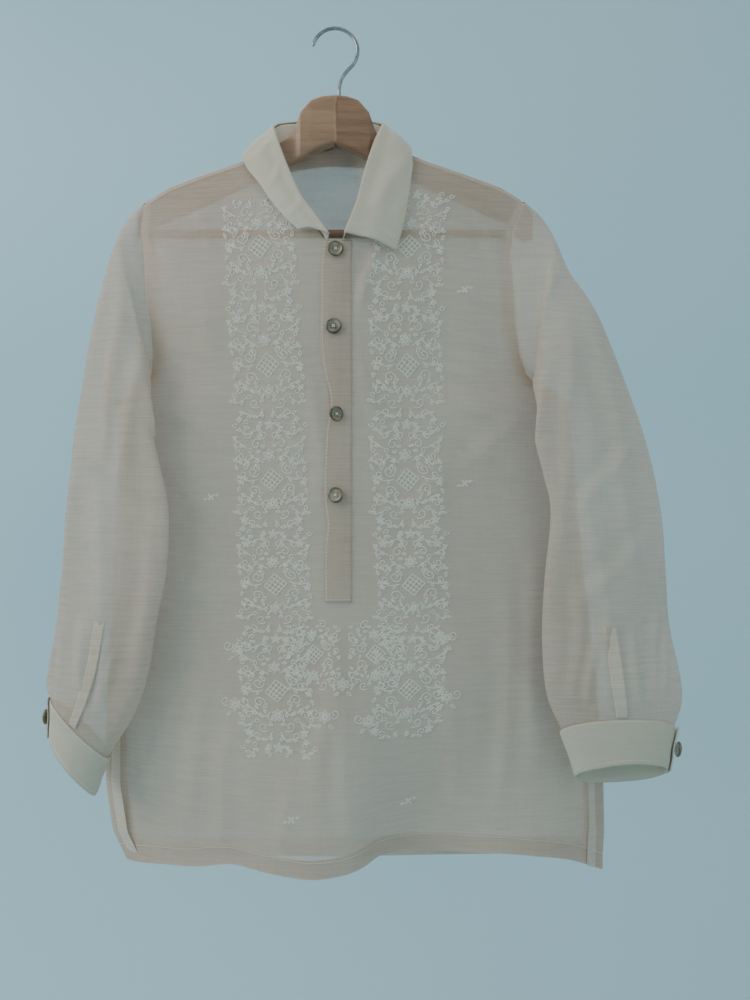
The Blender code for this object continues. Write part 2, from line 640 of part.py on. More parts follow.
def cuff(name, top_row, foot_row):
    """A band of double cloth, wrapped once round and over its own start, with a button on the overlap."""
    turn = np.radians(CUFF_START + CUFF_STEP * np.arange(CUFF_SIDES))
    step_out = CUFF_STEP_OUT * np.linspace(0, 1, CUFF_SIDES)
    top, foot = (np.concatenate([ring(row, turn[i:i + 1], step_out[i]) for i in range(CUFF_SIDES)])
                 for row in (top_row, foot_row))
    axis = (foot - top).mean(axis=0)
    top = top + axis / np.linalg.norm(axis) * CUFF_SEAM
    sheet("cuff_" + name, np.array([top, (top + foot) / 2, foot]), DOUBLE_WALL, COLLAR_CLOTH)
    overlap = slice(CUFF_SIDES - 3, CUFF_SIDES)
    middle = ((top + foot) / 2)[overlap]
    normal = np.cross(middle[2] - middle[0], axis)
    normal *= np.sign(np.dot(normal, middle[1] - ((top + foot) / 2).mean(axis=0))) / np.linalg.norm(normal)
    button("button_cuff_" + name, middle[1] + normal * CUFF_BUTTON_LIFT[name], normal)


def sleeve(name, side, table, cuff_foot, front, back):
    """The sleeve's rings turn from the upright armhole to the cuff's seam."""
    rings = sleeve_rings(side, table, front, back)
    sheet("sleeve_" + name, rings, WALL, CLOTH, ring=True)
    sleeve_lap(name, rings)
    cuff(name, table[-1], cuff_foot)


def button(name, centre, normal):
    """A turned disc with a raised rim round a shallow dish, which faces along the normal."""
    half = BUTTON_THICKNESS / 2
    radius = BUTTON_RADIUS
    profile = ((0, half * 0.35), (radius * 0.58, half * 0.4), (radius * 0.74, half), (radius * 0.92, half * 0.9),
               (radius, half * 0.2), (radius * 0.9, -half), (0, -half))
    mesh = bpy.data.meshes.new(name)
    points = [(r * MM, 0, z * MM) for r, z in profile]
    mesh.from_pydata(points, [(i, i + 1) for i in range(len(points) - 1)], [])
    mesh.materials.append(HORN)
    made = bpy.data.objects.new(name, mesh)
    PARTS.objects.link(made)
    turned = made.modifiers.new("turned", "SCREW")
    turned.steps = turned.render_steps = BUTTON_SIDES
    turned.use_merge_vertices = True
    turned.merge_threshold = 0.00001
    made.location = tuple(np.asarray(centre) * MM)
    made.rotation_mode = "QUATERNION"
    made.rotation_quaternion = mathutils.Vector(normal).to_track_quat("Z", "Y")


def front_buttons():
    for index, (x, z, turn) in enumerate(FRONT_BUTTONS):
        normal = (math.sin(math.radians(turn)), -math.cos(math.radians(turn)), 0.05)
        reach = BUTTON_RADIUS * abs(math.sin(math.radians(turn))) * 0.9
        y = float(front_y(x, z)) - LAY_ON - WALL / 2 - BUTTON_THICKNESS / 2 - BUTTON_GAP - reach
        button("button_front_%d" % (index + 1), (x, y, z), normal)


def hanger():
    """Each half is a loft of rounded sections from the mitre to the tip, pressed to the shoulder's line."""
    for name, side in (("left", -1), ("right", 1)):
        points, faces = [], []
        for x, top, foot, half in HANGER_ARM:
            if ARM_UNDER_CLOTH <= x < ARM_BOSS_X + 1:
                top = float(ridge_height(x)) - ARM_CLEARANCE
            reach = MITRE_X + side * SEAM_GAP / 2 if x == 0 else side * x
            corner = min(5.0, (top - foot) / 3, half)
            for across_share, inset in HANGER_SECTION:
                level = top - corner * inset if inset >= 0 else foot - corner * inset
                points.append((reach, float(mid_plane(reach)) + half * across_share, level))
        count = len(HANGER_SECTION)
        for row in range(len(HANGER_ARM) - 1):
            for corner in range(count):
                after = (corner + 1) % count
                faces.append((row * count + corner, row * count + after,
                              (row + 1) * count + after, (row + 1) * count + corner))
        last = (len(HANGER_ARM) - 1) * count
        faces.append(tuple(range(count))[::-1])
        faces.append(tuple(last + corner for corner in range(count)))
        if side > 0:
            faces = [face[::-1] for face in faces]
        add_mesh("hanger_half_" + name, points, faces, WOOD)


def wire(name, points, radius, resolution, finish):
    """A round wire or rod along a list of points, with filled ends."""
    curve = bpy.data.curves.new(name, "CURVE")
    curve.dimensions = "3D"
    curve.bevel_depth = radius * MM
    curve.bevel_resolution = resolution
    curve.use_fill_caps = True
    spline = curve.splines.new("POLY")
    spline.points.add(len(points) - 1)
    for point, place in zip(spline.points, points):
        point.co = (*(value * MM for value in place), 1.0)
    curve.materials.append(finish)
    made = bpy.data.objects.new(name, curve)
    PARTS.objects.link(made)


def hook_and_bar():
    """The hook is one bent wire: an open round over the origin, then a stem down into the hanger's head."""
    angles = np.radians(np.linspace(HOOK_TIP_TURN, HOOK_END_TURN, HOOK_POINTS))
    middle = HOOK_WIRE - HOOK_RADIUS
    points = [(HOOK_RADIUS * math.cos(a), 0, middle + HOOK_RADIUS * math.sin(a)) for a in angles]
    head_y = float(mid_plane(STEM_X))
    head_top = HANGER_ARM[0][1] + SEAM_GAP
    points += [(8.0, -0.6, -50.0), (STEM_X + 0.8, head_y * 0.6, STEM_TOP), (STEM_X, head_y, STEM_TOP - 6),
               (STEM_X, head_y, head_top)]
    wire("hanger_hook", points, HOOK_WIRE, 2, STEEL)
    ends = [side * (ARM_BOSS_X - SEAM_GAP) for side in (-1, 1)]
    wire("hanger_bar", [(ends[0], BAR_Y, BAR_Z), (0, BAR_Y, BAR_Z), (ends[1], BAR_Y, BAR_Z)], BAR_RADIUS, 2, WOOD)


clear_scene()
PARTS = bpy.data.collections.new(PART_NAME)
bpy.context.scene.collection.children.link(PARTS)
CLOTH = material("sheer_ivory_cloth", (0.72, 0.68, 0.60), 0.8)
DOUBLE_CLOTH = material("double_sheer_cloth", (0.74, 0.69, 0.60), 0.8)
COLLAR_CLOTH = material("ivory_lined_cloth", (0.82, 0.80, 0.73), 0.75)
HORN = material("mottled_horn", (0.30, 0.25, 0.15), 0.35)
WOOD = material("varnished_beech", (0.55, 0.36, 0.24), 0.5)
STEEL = material("nickelled_steel", (0.62, 0.62, 0.62), 0.3, 1.0)

FRONT, BACK = front_grid(), back_grid()
panels(FRONT, BACK)
shoulder_strips()
placket()
hem_bands(FRONT, BACK)
vent_facings(FRONT, BACK)
collar()
sleeve("right", 1, RIGHT_SLEEVE, RIGHT_CUFF, FRONT, BACK)
sleeve("left", -1, LEFT_SLEEVE, LEFT_CUFF, FRONT, BACK)
front_buttons()
hanger()
hook_and_bar()
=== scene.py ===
"""The looks of a sheer embroidered barong shirt on a wooden hanger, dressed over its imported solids.

Sizes are in millimetres, in the frame of the solids: X to the viewer's right, Y away, Z up from
the inside top of the hook. One factor turns them to metres where a mesh is made.
"""

import math

import bpy
import mathutils
import numpy as np
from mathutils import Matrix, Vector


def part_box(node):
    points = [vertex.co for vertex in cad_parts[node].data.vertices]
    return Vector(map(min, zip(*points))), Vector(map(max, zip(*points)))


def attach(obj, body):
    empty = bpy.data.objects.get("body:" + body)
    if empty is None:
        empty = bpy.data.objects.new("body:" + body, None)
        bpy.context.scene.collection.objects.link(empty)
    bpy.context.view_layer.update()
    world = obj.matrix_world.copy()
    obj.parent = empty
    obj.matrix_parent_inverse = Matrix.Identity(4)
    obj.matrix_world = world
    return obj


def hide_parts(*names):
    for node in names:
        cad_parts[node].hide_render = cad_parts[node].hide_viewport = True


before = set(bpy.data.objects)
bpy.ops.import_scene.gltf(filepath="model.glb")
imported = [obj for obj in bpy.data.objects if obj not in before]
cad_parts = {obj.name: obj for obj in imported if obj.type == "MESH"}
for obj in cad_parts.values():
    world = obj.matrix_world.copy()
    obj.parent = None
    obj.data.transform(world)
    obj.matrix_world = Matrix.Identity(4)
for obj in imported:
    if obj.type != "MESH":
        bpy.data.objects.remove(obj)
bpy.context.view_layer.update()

# Front: one panel of sheer weave from the shoulder seams to the hem, slit at the middle. Its edges, depths, neck and
# hem are the solid's, and the photo's soft creases lie on it: ripples across the chest, a fold beside the collar's
# point and long folds to the hem. A crease is its line's two ends, its width and its height.
MM = 0.001


def by_name(names, rows):
    """A table's columns by name, each an array."""
    return dict(zip(names.split(), np.array(rows, float).T))


BODY_EDGES = by_name("z left_x right_x half_depth", (
    (-182, -202, 200, 8.5), (-210, -205, 188, 14.0), (-240, -201, 184, 17.0), (-290, -197, 188, 18.0),
    (-320, -193, 190, 16.0), (-345, -192, 195, 12.0), (-365, -195, 203, 7.5), (-382, -210, 222, 3.5),
    (-392, -224, 240, 1.6), (-399, -232, 250, 1.0), (-434, -233, 254, 0.9), (-500, -236, 260, 0.9),
    (-606, -240, 270, 0.9), (-640, -242, 274, 0.9), (-690, -244, 280, 3.4), (-740, -246, 284, 4.2),
    (-800, -246, 287, 5.0), (-850, -238, 288, 5.5), (-881, -222, 286, 6.0),
))
BODY_DEPTH = by_name("z front back", (
    (-90, 34, 30), (-240, 37, 31), (-340, 34, 30), (-440, 31, 28), (-545, 31, 27), (-640, 34, 26),
    (-760, 41, 25), (-880, 46, 24),
))
DEPTH_POWER = 2.4
DEPTH_ROUNDING = 0.9
SHOULDER_LINE = by_name("x z", (
    (0, -92), (45, -107), (60, -121), (80, -133), (97, -139.5), (142, -153.5), (176, -165), (202, -180),
    (222, -196),
))
SHOULDER_RADIUS = 8.5
SHOULDER_SEAM = 7.0
SHOULDER_SEAM_GAP = 1.2
SHOULDER_FALL = 60.0
SHOULDER_LEVEL = -150.0
MID_PLANE_MIDDLE = -4.0
MID_PLANE_SWEEP = 18.0
HALF_SHOULDER = 250.0
NECK_CENTRE_X = -8.0
NECK_HALF = 25.0
NECK_FADE = 45.0
NECK_FALL = 8.0
FRONT_NECK = by_name("x z", ((-66, -127.6), (-59, -143), (-47, -172), (-34, -200), (-18, -222), (-4, -239), (11, -240),
                             (28, -189), (41, -143), (52, -116.8)))
FRONT_HEM = by_name("x z y", (
    (-222, -881, 6), (-206, -880, -5), (-179, -876, -20), (-136, -872, -35), (-96, -867, -42), (-60, -873, -50),
    (-8, -875, -57), (29, -870, -45), (53, -863, -24), (76, -865, -10), (110, -867, -6), (143, -866, -12),
    (208, -870, -14), (250, -878, -5), (286, -893, 7),
))
HEM_WAVE_TOP = -640.0
HEM_WAVE_FOOT = -875.0
FRONT_FOLDS = (
    (-120, -240, -150, -520, 26, 4.0), (135, -240, 165, -560, 24, 4.0), (120, -380, 90, -620, 20, 3.0),
    (-110, -560, -70, -760, 24, 3.5),
)
FRONT_ROWS = (0, 6, 28, 58, 108, 138, 163, 183, 200, 210, 217, 252, 300, 355, 410, 465, 520, 570, 620, 662, 698)
FRONT_FINE = (170, 190)
SLIT_LEFT = 1.0
SLIT_RIGHT = 7.0
SLIT_FOOT = -560.0
AJAR = ((-345, -402), (-508, -540))
AJAR_SHIFT = 1.8
EDGE_HEIGHTS = np.array([228, 250, 262, 300, 347, 374, 388, 407, 422, 450, 500, 523, 545, 610.0])
EDGE_PLACES = np.array([-9, -11.5, -12.3, -12.5, -12.3, -8, -4, -3.2, -6.2, -8.5, -9, -6.5, -8.5, -8.5])
FRONT_CREASES = (
    (43, -236, 17, -312, 6, 2.6), (106, -280, 196, -300, 5, 1.3), (112, -318, 190, -344, 5, 1.2),
    (104, -352, 176, -392, 6, 1.4), (112, -398, 200, -436, 5, 1.3), (108, -430, 205, -478, 5, 1.5),
    (112, -470, 190, -500, 4, 1.1), (120, -505, 210, -560, 6, 1.5), (196, -402, 120, -470, 8, 1.6),
    (-178, -262, -112, -330, 7, 1.5), (-184, -330, -118, -352, 5, 1.1), (-190, -405, -110, -440, 6, 1.3),
    (-205, -450, -118, -520, 7, 1.4), (-196, -560, -108, -610, 7, 1.3), (30, -330, 52, -470, 8, 1.6),
    (-28, -360, -22, -520, 7, 1.4), (-4, -612, -6, -800, 10, 2.4), (18, -640, 30, -868, 9, 1.8),
    (-40, -760, -60, -868, 10, 2.2), (-150, -640, -160, -868, 11, 2.4), (-110, -700, -104, -868, 9, 2.0),
    (-205, -600, -196, -850, 9, 2.2), (120, -660, 108, -862, 10, 2.2), (160, -560, 178, -860, 10, 2.2),
    (214, -500, 232, -820, 11, 2.6), (252, -600, 262, -860, 7, 1.8), (130, -610, 214, -720, 8, 1.6),
    (-150, -190, -120, -240, 8, 1.4), (120, -170, 96, -240, 7, 1.3), (150, -180, 168, -250, 7, 1.5),
)


def smooth(at, xs, ys):
    """A curve through a table's points: a cubic in each span, with the slope between its neighbours."""
    xs, ys, at = np.asarray(xs, float), np.asarray(ys, float), np.asarray(at, float)
    if xs[0] > xs[-1]:
        xs, ys = xs[::-1], ys[::-1]
    at = np.clip(at, xs[0], xs[-1])
    slope = np.gradient(ys, xs)
    span = np.clip(np.searchsorted(xs, at, side="right") - 1, 0, len(xs) - 2)
    width = xs[span + 1] - xs[span]
    t = (at - xs[span]) / width
    start = (1 + 2 * t) * (1 - t) ** 2 * ys[span] + t * (1 - t) ** 2 * width * slope[span]
    return start + t**2 * (3 - 2 * t) * ys[span + 1] + t**2 * (t - 1) * width * slope[span + 1]


def eased(t):
    """A share from 0 to 1 that starts and stops softly: three squares less two cubes."""
    return t**2 * (3 - 2 * t)


def edge_at(z, name):
    """A column of the body's edges at each height."""
    return np.interp(-np.asarray(z), -BODY_EDGES["z"], BODY_EDGES[name])


def across(x, z):
    """How far x lies from the middle of the body to its edge, from -1 to 1."""
    left, right = edge_at(z, "left_x"), edge_at(z, "right_x")
    return np.clip((2 * x - left - right) / (right - left), -1, 1)


def body_x(u, z):
    """The place at a share u across the body, from -1 to 1."""
    left, right = edge_at(z, "left_x"), edge_at(z, "right_x")
    return (left + right) / 2 + u * (right - left) / 2


def mid_plane(x):
    """The shoulders sweep back from the middle, by the share across raised to 1.5."""
    return MID_PLANE_MIDDLE + MID_PLANE_SWEEP * np.clip(np.abs(x) / HALF_SHOULDER, 0, 1) ** 1.5


def ridge_height(x):
    """The shoulder's top at each place across."""
    return np.interp(np.abs(x), SHOULDER_LINE["x"], SHOULDER_LINE["z"])


def fold_height(x, z, folds):
    """Each fold is a soft ridge across its line, and fades out at both ends."""
    total = np.zeros(np.broadcast(x, z).shape)
    for top_x, top_z, foot_x, foot_z, width, height in folds:
        along = np.clip((top_z - z) / (top_z - foot_z), 0, 1)
        middle = top_x + (foot_x - top_x) * along
        total = total + height * np.sin(np.pi * along) * np.exp(-(((x - middle) / width) ** 2))
    return total


def half_depth(x, z, side):
    """Distance of a panel from the mid plane: round over the arm, then out to the panel's own depth, which it nears
    as one less a falling exponential. Across, the depth is one less the share across to a power."""
    edge = edge_at(z, "half_depth")
    depths = smooth(z, BODY_DEPTH["z"], BODY_DEPTH[side])
    full = edge + (depths - edge) * (1 - np.abs(across(x, z)) ** DEPTH_POWER) ** DEPTH_ROUNDING
    below = np.maximum(ridge_height(x) - z, 0)
    over = np.sqrt(np.clip(SHOULDER_RADIUS**2 - (SHOULDER_RADIUS - np.minimum(below, SHOULDER_RADIUS)) ** 2, 0, None))
    neck = np.clip((np.abs(x - NECK_CENTRE_X) - NECK_HALF) / NECK_FADE, 0, 1) if side == "back" else 1.0
    fall = NECK_FALL + (SHOULDER_FALL - NECK_FALL) * eased(neck)
    grown = 1 - np.exp(-np.maximum(below - SHOULDER_RADIUS, 0) / fall)
    return over + (full - SHOULDER_RADIUS) * grown


def front_y(x, z):
    """The front panel's surface, which blends into the hem's own wave at its foot."""
    x, z = np.asarray(x, float), np.asarray(z, float)
    drape = mid_plane(x) - half_depth(x, z, "front") - fold_height(x, z, FRONT_FOLDS) * (1 - across(x, z) ** 4)
    blend = np.clip((HEM_WAVE_TOP - z) / (HEM_WAVE_TOP - HEM_WAVE_FOOT), 0, 1)
    blend = eased(blend) * (1 - np.abs(across(x, z)) ** 12)
    return drape * (1 - blend) + smooth(x, FRONT_HEM["x"], FRONT_HEM["y"]) * blend


def creases(x, z, marks):
    """The height of the creases at x, z: each a ridge along its line, which two sines bend, with a trough about half
    as high beside it. It fades by an eased share over 0.3 of its length at both ends."""
    total = np.zeros(np.broadcast(x, z).shape)
    for number, (x0, z0, x1, z1, width, height) in enumerate(marks):
        length = math.hypot(x1 - x0, z1 - z0)
        along = ((x - x0) * (x1 - x0) + (z - z0) * (z1 - z0)) / length**2
        aside = ((x - x0) * (z1 - z0) - (z - z0) * (x1 - x0)) / length
        aside = aside + 0.06 * length * np.sin(2.2 * along + 1.7 * number) + 1.5 * np.sin(9 * along + number)
        fade = eased(np.clip(np.minimum(along, 1 - along) / 0.3, 0, 1))
        shape = np.exp(-((aside / width) ** 2)) - 0.55 * np.exp(-(((aside - 1.7 * width) / (1.3 * width)) ** 2))
        total = total + height * fade * shape
    return total


def front_surface(x, z, marks=FRONT_CREASES):
    """Points of the dressed front at x and z. The creases fade at the shoulder and at both edges."""
    calm = np.clip((ridge_height(x) - z - 12) / 25, 0, 1) * (1 - np.abs(across(x, z)) ** 10)
    return np.stack([x + 0 * z, front_y(x, z) - creases(x, z, marks) * calm, z + 0 * x], axis=-1)


def front_grid(u, rows, marks=FRONT_CREASES):
    """The front's points: columns at the shares u from side to side, each from its top edge down to the hem."""
    seam_turn = (SHOULDER_SEAM + SHOULDER_SEAM_GAP) / SHOULDER_RADIUS
    top = ridge_height(body_x(u, SHOULDER_LEVEL)) - SHOULDER_RADIUS * (1 - math.cos(seam_turn))
    in_neck = (u > neck_u[0]) & (u < neck_u[-1])
    top = np.where(in_neck, np.interp(u, neck_u, FRONT_NECK["z"]), top)
    foot = smooth(body_x(u, BODY_EDGES["z"][-1]), FRONT_HEM["x"], FRONT_HEM["z"])
    z = top + np.array(rows)[:, None] / FRONT_ROWS[-1] * (foot - top)
    return front_surface(body_x(u, z), z, marks)


def between(values, count):
    """A row table's values, read evenly at a finer count."""
    return np.interp(np.linspace(0, len(values) - 1, count), np.arange(len(values)), values)


def spaced(even, extra, apart):
    """The even columns without those that lie close to the extra ones, and the extra ones among them."""
    keep = np.abs(even[:, None] - np.array(extra)).min(axis=1) > apart
    return np.sort(np.concatenate([even[keep], extra]))


def free_edge(z):
    """Where the placket's free edge lies at each height. It wanders as the photo shows it."""
    return smooth(-z, EDGE_HEIGHTS, EDGE_PLACES)


def linear(code):
    """A hex colour as the linear numbers that a shader takes."""
    values = [int(code[start:start + 2], 16) / 255 for start in (0, 2, 4)]
    return tuple(v / 12.92 if v <= 0.04045 else ((v + 0.055) / 1.055) ** 2.4 for v in values) + (1.0,)


def add(tree, kind, inputs=(), **settings):
    """Adds a node with its settings, and fills each named input with a value or another node's output."""
    made = tree.nodes.new(kind)
    for key, value in settings.items():
        setattr(made, key, value)
    for key, value in dict(inputs).items():
        if isinstance(value, bpy.types.NodeSocket):
            tree.links.new(value, made.inputs[key])
        else:
            made.inputs[key].default_value = value
    return made


def blank(name, roughness, sheen=0.0, metallic=0.0, coat=0.0):
    """A new material with its shader's even settings, its tree and the object coordinates."""
    made = bpy.data.materials.new(name)
    made.use_nodes = True
    tree = made.node_tree
    shader = tree.nodes["Principled BSDF"]
    shader.inputs["Roughness"].default_value = roughness
    shader.inputs["Sheen Weight"].default_value = sheen
    shader.inputs["Metallic"].default_value = metallic
    shader.inputs["Coat Weight"].default_value = coat
    return made, tree, shader, add(tree, "ShaderNodeTexCoord").outputs["Object"]


def levels(low, high, to_low=0.0, to_high=1.0):
    """The settings that stretch a value's range, low to high, to another one."""
    return {"From Min": low, "From Max": high, "To Min": to_low, "To Max": to_high}


def pattern(tree, place, cell, detail=2.0, stretch=None, turn=(0, 0, 0)):
    """Noise whose cells are so many millimetres along the turned axes, its range stretched if asked."""
    mapped = add(tree, "ShaderNodeMapping",
                 {"Vector": place, "Scale": [1 / (size * MM) for size in cell], "Rotation": turn}).outputs[0]
    value = add(tree, "ShaderNodeTexNoise", {"Vector": mapped, "Scale": 1.0, "Detail": detail}).outputs[0]
    return add(tree, "ShaderNodeMapRange", {"Value": value, **stretch}).outputs[0] if stretch else value


def coloured(tree, shader, share, dark, pale):
    """Gives the shader two tones, dark where the share is 0 and pale where it is 1."""
    tones = add(tree, "ShaderNodeMix", {0: share, 6: linear(dark), 7: linear(pale)}, data_type="RGBA")
    tree.links.new(tones.outputs[2], shader.inputs["Base Color"])


def cloth(name, pale, shade, see_through, opaque, bump=0.3):
    """Plain weave: slubs 38 mm long across, upright ends 1.3 mm apart, and slow changes of tone. Real ends lie 0.3 mm
    apart, too fine to show, so they are drawn coarser. The weave's thin places let more through."""
    made, tree, shader, place = blank(name, 0.72, sheen=0.25)
    slubs = pattern(tree, place, (38.46, 38.46, 1.613), 3.0)
    ends = pattern(tree, place, (1.316, 1.316, 45.45), stretch=levels(0.3, 0.7, 0.85, 1.12))
    slow = pattern(tree, place, (111.1, 111.1, 142.9), stretch=levels(0.35, 0.65, 0.0, 0.45))
    weave = add(tree, "ShaderNodeMath", {0: slubs, 1: ends}, operation="MULTIPLY").outputs[0]
    base = add(tree, "ShaderNodeMapRange", {"Value": weave, **levels(0.35, 0.66, 0.22, 0.38)}).outputs[0]
    tone = add(tree, "ShaderNodeMath", {0: base, 1: slow}, operation="ADD")
    coloured(tree, shader, tone.outputs[0], shade, pale)
    solid = add(tree, "ShaderNodeMapRange", {"Value": weave, **levels(0.36, 0.62, see_through, opaque)})
    tree.links.new(solid.outputs[0], shader.inputs["Alpha"])
    raised = add(tree, "ShaderNodeBump", {"Height": weave, "Strength": bump, "Distance": 0.6 * MM})
    tree.links.new(raised.outputs[0], shader.inputs["Normal"])
    return made


def placed(name, data):
    """A new object in the scene."""
    made = bpy.data.objects.new(name, data)
    bpy.context.scene.collection.objects.link(made)
    return made


def smooth_mesh(name, points, faces, finish):
    """A smooth mesh from points in millimetres."""
    mesh = bpy.data.meshes.new(name)
    mesh.from_pydata((points * MM).tolist(), [], faces.tolist())
    mesh.polygons.foreach_set("use_smooth", np.ones(len(faces), bool))
    mesh.materials.append(finish)
    return placed(name, mesh)


def surface(name, grid, finish, ring=False, leave_out=None, thickness=0.0, flip=False):
    """A smooth sheet on a grid of points, with a wall only where a thickness is given."""
    rows, columns, _ = grid.shape
    index = np.arange(rows * columns).reshape(rows, columns)
    if ring:
        index = np.concatenate([index, index[:, :1]], axis=1)
    quads = np.stack([index[:-1, :-1], index[:-1, 1:], index[1:, 1:], index[1:, :-1]], axis=2)
    keep = np.ones(quads.shape[:2], bool) if leave_out is None else ~leave_out
    made = smooth_mesh(name, grid.reshape(-1, 3), quads[keep][:, ::-1] if flip else quads[keep], finish)
    if thickness:
        wall = made.modifiers.new("wall", "SOLIDIFY")
        wall.thickness = thickness * MM
        wall.offset = 0
    return made


def stands_for(piece, slot, *nodes):
    """Ties a piece to the one body and hides the nodes that it stands for. The slot is not used."""
    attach(piece, "root")
    if nodes:
        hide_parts(*nodes)


def dressed(name, grid, finish, slot, *nodes, **shape):
    """A surface in the place of its nodes."""
    stands_for(surface(name, grid, finish, **shape), slot, *nodes)


# Sheer weave of pineapple-leaf fibre: matt, warm ivory, with slubs, and clear enough for the wall to tint it.
SHEER = cloth("sheer_weave", "e2cab6", "cfb59f", 0.61, 0.69)
slit = across(np.array([SLIT_LEFT, SLIT_RIGHT]), SLIT_FOOT)
neck_u = across(FRONT_NECK["x"], FRONT_NECK["z"])
front_u = spaced(np.linspace(-1, 1, FRONT_FINE[1]), [*slit, neck_u[0], neck_u[-1]], 0.004)
front_points = front_grid(front_u, between(FRONT_ROWS, FRONT_FINE[0]))
in_slit = (front_u[:-1] >= slit[0] - 1e-6) & (front_u[:-1] < slit[1] - 1e-6)
cell_x, cell_z = front_points[:-1, :-1, 0], front_points[:-1, :-1, 2]
ajar = np.any([(cell_z < top) & (cell_z > foot) for top, foot in AJAR], axis=0)
slit_cells = (in_slit & (front_points[1:, :-1, 2] > SLIT_FOOT)
              & (cell_x > free_edge(cell_z) + np.where(ajar, -AJAR_SHIFT, AJAR_SHIFT)))
dressed("front_cloth", front_points, SHEER, "sheer_cloth", "front_panel", leave_out=slit_cells, flip=True)

# Back: one plain panel that comes over the shoulder to the seam, with its own soft hanging folds. Its weave is painted
# paler, painted light that lifts its shaded inside, and lets less through, as it shows behind the front's.
BACK_NECK = by_name("x along", ((-66, -7), (-62, 2), (-57, 12), (-50, 19), (-35, 24), (-8, 29), (19, 26.5), (33, 22),
                                (39, 17), (43, 12), (47.5, 3), (52, -7)))
BACK_HEM_HEIGHT = -884.0
QUARTER = SHOULDER_RADIUS * math.pi / 2
BACK_FOLDS = (
    (-60, -190, -95, -620, 28, 4.0), (70, -190, 100, -640, 28, 4.0), (5, -330, 12, -800, 30, 3.5),
)
BACK_ROWS = (0, 3.5, 7, 12, 17, 21, 46, 76, 126, 156, 181, 201, 218, 228, 235, 290, 360, 440, 520, 600, 660, 716)
BACK_FINE = (180, 170)
BACK_CREASES = (
    (-120, -190, -150, -420, 12, 2.4), (-60, -180, -70, -380, 11, 2.0), (20, -170, 10, -400, 12, 2.2),
    (90, -180, 116, -400, 12, 2.4), (150, -200, 170, -420, 9, 2.0), (-170, -400, -120, -560, 10, 2.0),
    (200, -420, 150, -560, 10, 2.0), (-160, -560, -176, -870, 13, 2.8), (-90, -520, -98, -870, 14, 2.8),
    (-20, -480, -26, -870, 13, 2.6), (60, -500, 70, -870, 14, 2.8), (140, -540, 152, -870, 13, 2.8),
    (220, -560, 236, -870, 11, 2.4), (-150, -300, -60, -330, 6, 1.2), (50, -300, 160, -340, 6, 1.2),
)


def back_y(x, z):
    """The back panel's surface."""
    x, z = np.asarray(x, float), np.asarray(z, float)
    return mid_plane(x) + half_depth(x, z, "back") + fold_height(x, z, BACK_FOLDS) * (1 - across(x, z) ** 4)


def back_grid(u, rows, marks=BACK_CREASES):
    """The back's points: rows follow the cloth's length over the shoulder and down the back."""
    in_neck = (u > back_neck_u[0]) & (u < back_neck_u[-1])
    start = np.where(in_neck, np.interp(u, back_neck_u, BACK_NECK["along"]), -SHOULDER_SEAM)
    ridge = ridge_height(body_x(u, SHOULDER_LEVEL))
    length = QUARTER + ridge - SHOULDER_RADIUS - BACK_HEM_HEIGHT
    along = start + np.array(rows)[:, None] / BACK_ROWS[-1] * (length - start)
    turn = np.clip(along / SHOULDER_RADIUS, -math.pi / 2, math.pi / 2)
    hang = np.maximum(along - QUARTER, 0)
    z = np.where(hang > 0, ridge - SHOULDER_RADIUS - hang, ridge - SHOULDER_RADIUS * (1 - np.cos(turn)))
    x = body_x(u, z)
    calm = np.clip(hang / 30, 0, 1) * (1 - np.abs(u) ** 10)
    y = np.where(hang > 0, back_y(x, z) + creases(x, z, marks) * calm, mid_plane(x) + SHOULDER_RADIUS * np.sin(turn))
    return np.stack([x, y, z], axis=-1)


# Paler than the front's weave of the same cloth: painted light on the back's shaded inside.
BACK_SHEER_PAINTED_LIGHT = cloth("sheer_weave_back_painted_light", "efd9c7", "dcc4b0", 0.72, 0.80)
back_neck_u = across(BACK_NECK["x"], SHOULDER_LEVEL)
back_u = spaced(np.linspace(-1, 1, BACK_FINE[1]), [back_neck_u[0], back_neck_u[-1]], 0.004)
back_points = back_grid(back_u, between(BACK_ROWS, BACK_FINE[0]))
dressed("back_cloth", back_points, BACK_SHEER_PAINTED_LIGHT, "sheer_cloth", "back_panel")

# Shoulder seams: a felled strip 8 mm wide just in front of the shoulder's top, seen paler through the cloth.
STRIP_WIDTH = 8.0


def path_point(x, along, off=0.0):
    """A point of the shirt at a length of cloth from the shoulder's top: minus to the front, plus to the back."""
    x, along = np.asarray(x, float), np.asarray(along, float)
    ridge = ridge_height(x)
    turn = np.clip(along / SHOULDER_RADIUS, -math.pi / 2, math.pi / 2)
    lift = SHOULDER_RADIUS + off
    hang = np.maximum(np.abs(along) - QUARTER, 0)
    z_low = ridge - SHOULDER_RADIUS - hang
    y_low = np.where(along < 0, front_y(x, z_low) - off, back_y(x, z_low) + off)
    y = np.where(hang > 0, y_low, mid_plane(x) + lift * np.sin(turn))
    z = np.where(hang > 0, z_low, ridge - SHOULDER_RADIUS + lift * np.cos(turn))
    return np.stack([x + 0 * z, y, z], axis=-1)


# The same weave doubled: paler, and it hides nearly all behind it.
FOLDED = cloth("folded_weave", "eed9c6", "dac3ae", 0.84, 0.95)
strip_along = -(SHOULDER_SEAM + STRIP_WIDTH * np.linspace(0.5, -0.5, 5))[:, None]
for side_name, ends in (("left", (-199.0, -67.0)), ("right", (53.0, 197.0))):
    dressed("shoulder_fell_" + side_name, path_point(np.linspace(*ends, 60)[None], strip_along, -0.6), FOLDED,
            "sheer_cloth", "shoulder_seam_" + side_name, flip=True)

